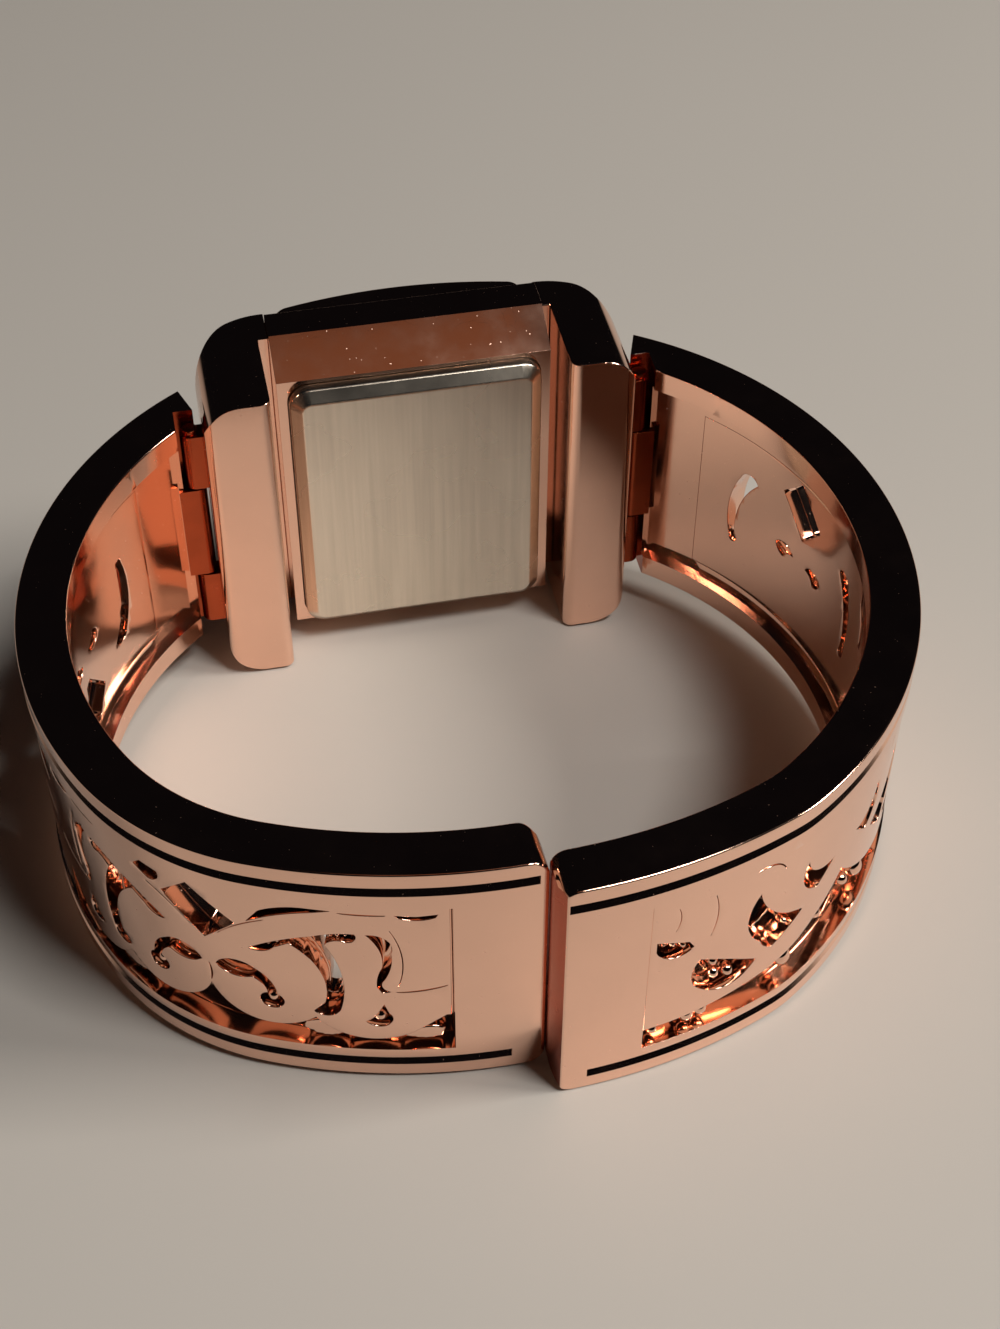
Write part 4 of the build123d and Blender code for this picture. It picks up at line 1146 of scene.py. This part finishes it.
def lay_floor():
    """A pale floor under the head's lower edge and the arms' lower edges at the gap."""
    bm = bmesh.new()
    bmesh.ops.create_grid(bm, x_segments=1, y_segments=1, size=FLOOR_HALF * MM)
    floor = in_scene(bm, "floor")
    floor.rotation_euler = (-radians(REST_TILT), 0, 0)
    floor.location = Vector((0, REST_LINE, -FLOOR_DROP)) * MM
    recipe = Recipe("pale_floor")
    base = tuple(stage_settings().floor_colour)
    cloud = recipe.noise(scale=6, detail=2)
    colour = recipe.ramp(cloud, ((0.3, shades(base, 0.97)), (0.7, base)))
    recipe.link(colour, recipe.shader.inputs["Base Color"])
    recipe.shader.inputs["Roughness"].default_value = 0.55
    floor.data.materials.append(recipe.material)


def soft_light(name, spot, size, power, colour):
    """A square area light that faces the watch, in metres."""
    data = bpy.data.lights.new(name, "AREA")
    data.size = size
    data.energy = power
    data.color = colour
    lamp = bpy.data.objects.new(name, data)
    lamp.location = spot
    aim = Vector((0, 0, 0)) - Vector(spot)
    lamp.rotation_euler = aim.to_track_quat("-Z", "Y").to_euler()
    bpy.context.scene.collection.objects.link(lamp)


def hang_lights():
    """A lamp at the right, a soft one above in front, a faint red one and a dark room around."""
    settings = stage_settings()
    soft_light("key", KEY_SPOT, LAMP_SIZE, settings.key_power, (1.0, 0.95, 0.88))
    soft_light("ceiling", CEILING_SPOT, LAMP_SIZE, settings.ceiling_power, (1.0, 0.97, 0.93))
    soft_light("glow", GLOW_SPOT, GLOW_SIZE, GLOW_POWER, (1.0, 0.42, 0.20))
    world = bpy.data.worlds.new("room")
    bpy.context.scene.world = world
    world.use_nodes = True
    background = world.node_tree.nodes["Background"]
    background.inputs["Color"].default_value = (0.003, 0.003, 0.004, 1)
    background.inputs["Strength"].default_value = 1.0


def set_camera():
    """The camera of the photograph."""
    data = bpy.data.cameras.new("camera")
    data.lens = stage_settings().lens
    data.sensor_width = 36.0
    data.clip_start = 0.01
    camera = bpy.data.objects.new("camera", data)
    camera.location = Vector(CAMERA_SPOT) * MM
    turn = Matrix.Rotation(-radians(CAMERA_TURN), 4, "Z")
    down = Matrix.Rotation(radians(90 - CAMERA_DOWN), 4, "X")
    roll = Matrix.Rotation(radians(CAMERA_ROLL), 4, "Z")
    camera.rotation_euler = (turn @ down @ roll).to_euler()
    bpy.context.scene.collection.objects.link(camera)
    bpy.context.scene.camera = camera
    bpy.context.scene.view_settings.view_transform = "Standard"


class WATCH_PT_panel(bpy.types.Panel):
    """The sidebar panel that lists the pieces"""

    bl_label = "Bangle Watch"
    bl_idname = "WATCH_PT_panel"
    bl_space_type = "VIEW_3D"
    bl_region_type = "UI"
    bl_category = "Bangle Watch"

    def draw(self, context):
        layout = self.layout
        for settings in (context.scene.bangle_finish, context.scene.bangle_stage):
            for name in settings.__annotations__:
                layout.prop(settings, name)
        for operator in OPERATORS:
            layout.operator(operator.bl_idname)


OPERATORS = (
    WATCH_OT_arm_frames, WATCH_OT_scroll_panels, WATCH_OT_side_bars, WATCH_OT_hinges, WATCH_OT_case,
    WATCH_OT_case_back, WATCH_OT_front, WATCH_OT_dial, WATCH_OT_crown, WATCH_OT_seals, WATCH_OT_movement,
    WATCH_OT_stage,
)
CLASSES = (BangleFinish, StageSettings) + OPERATORS + (WATCH_PT_panel,)


def register():
    """Registers the classes and their settings."""
    for item in CLASSES:
        bpy.utils.register_class(item)
    bpy.types.Scene.bangle_finish = bpy.props.PointerProperty(type=BangleFinish)
    bpy.types.Scene.bangle_stage = bpy.props.PointerProperty(type=StageSettings)


def unregister():
    """Takes the classes and their settings away again."""
    del bpy.types.Scene.bangle_stage
    del bpy.types.Scene.bangle_finish
    for item in reversed(CLASSES):
        bpy.utils.unregister_class(item)


def main():
    """Makes every piece in order."""
    register()
    bpy.ops.watch.arm_frames()
    bpy.ops.watch.scroll_panels()
    bpy.ops.watch.side_bars()
    bpy.ops.watch.hinges()
    bpy.ops.watch.case()
    bpy.ops.watch.case_back()
    bpy.ops.watch.front()
    bpy.ops.watch.dial()
    bpy.ops.watch.crown()
    bpy.ops.watch.seals()
    bpy.ops.watch.movement()
    bpy.ops.watch.stage()


if __name__ == "__main__":
    main()
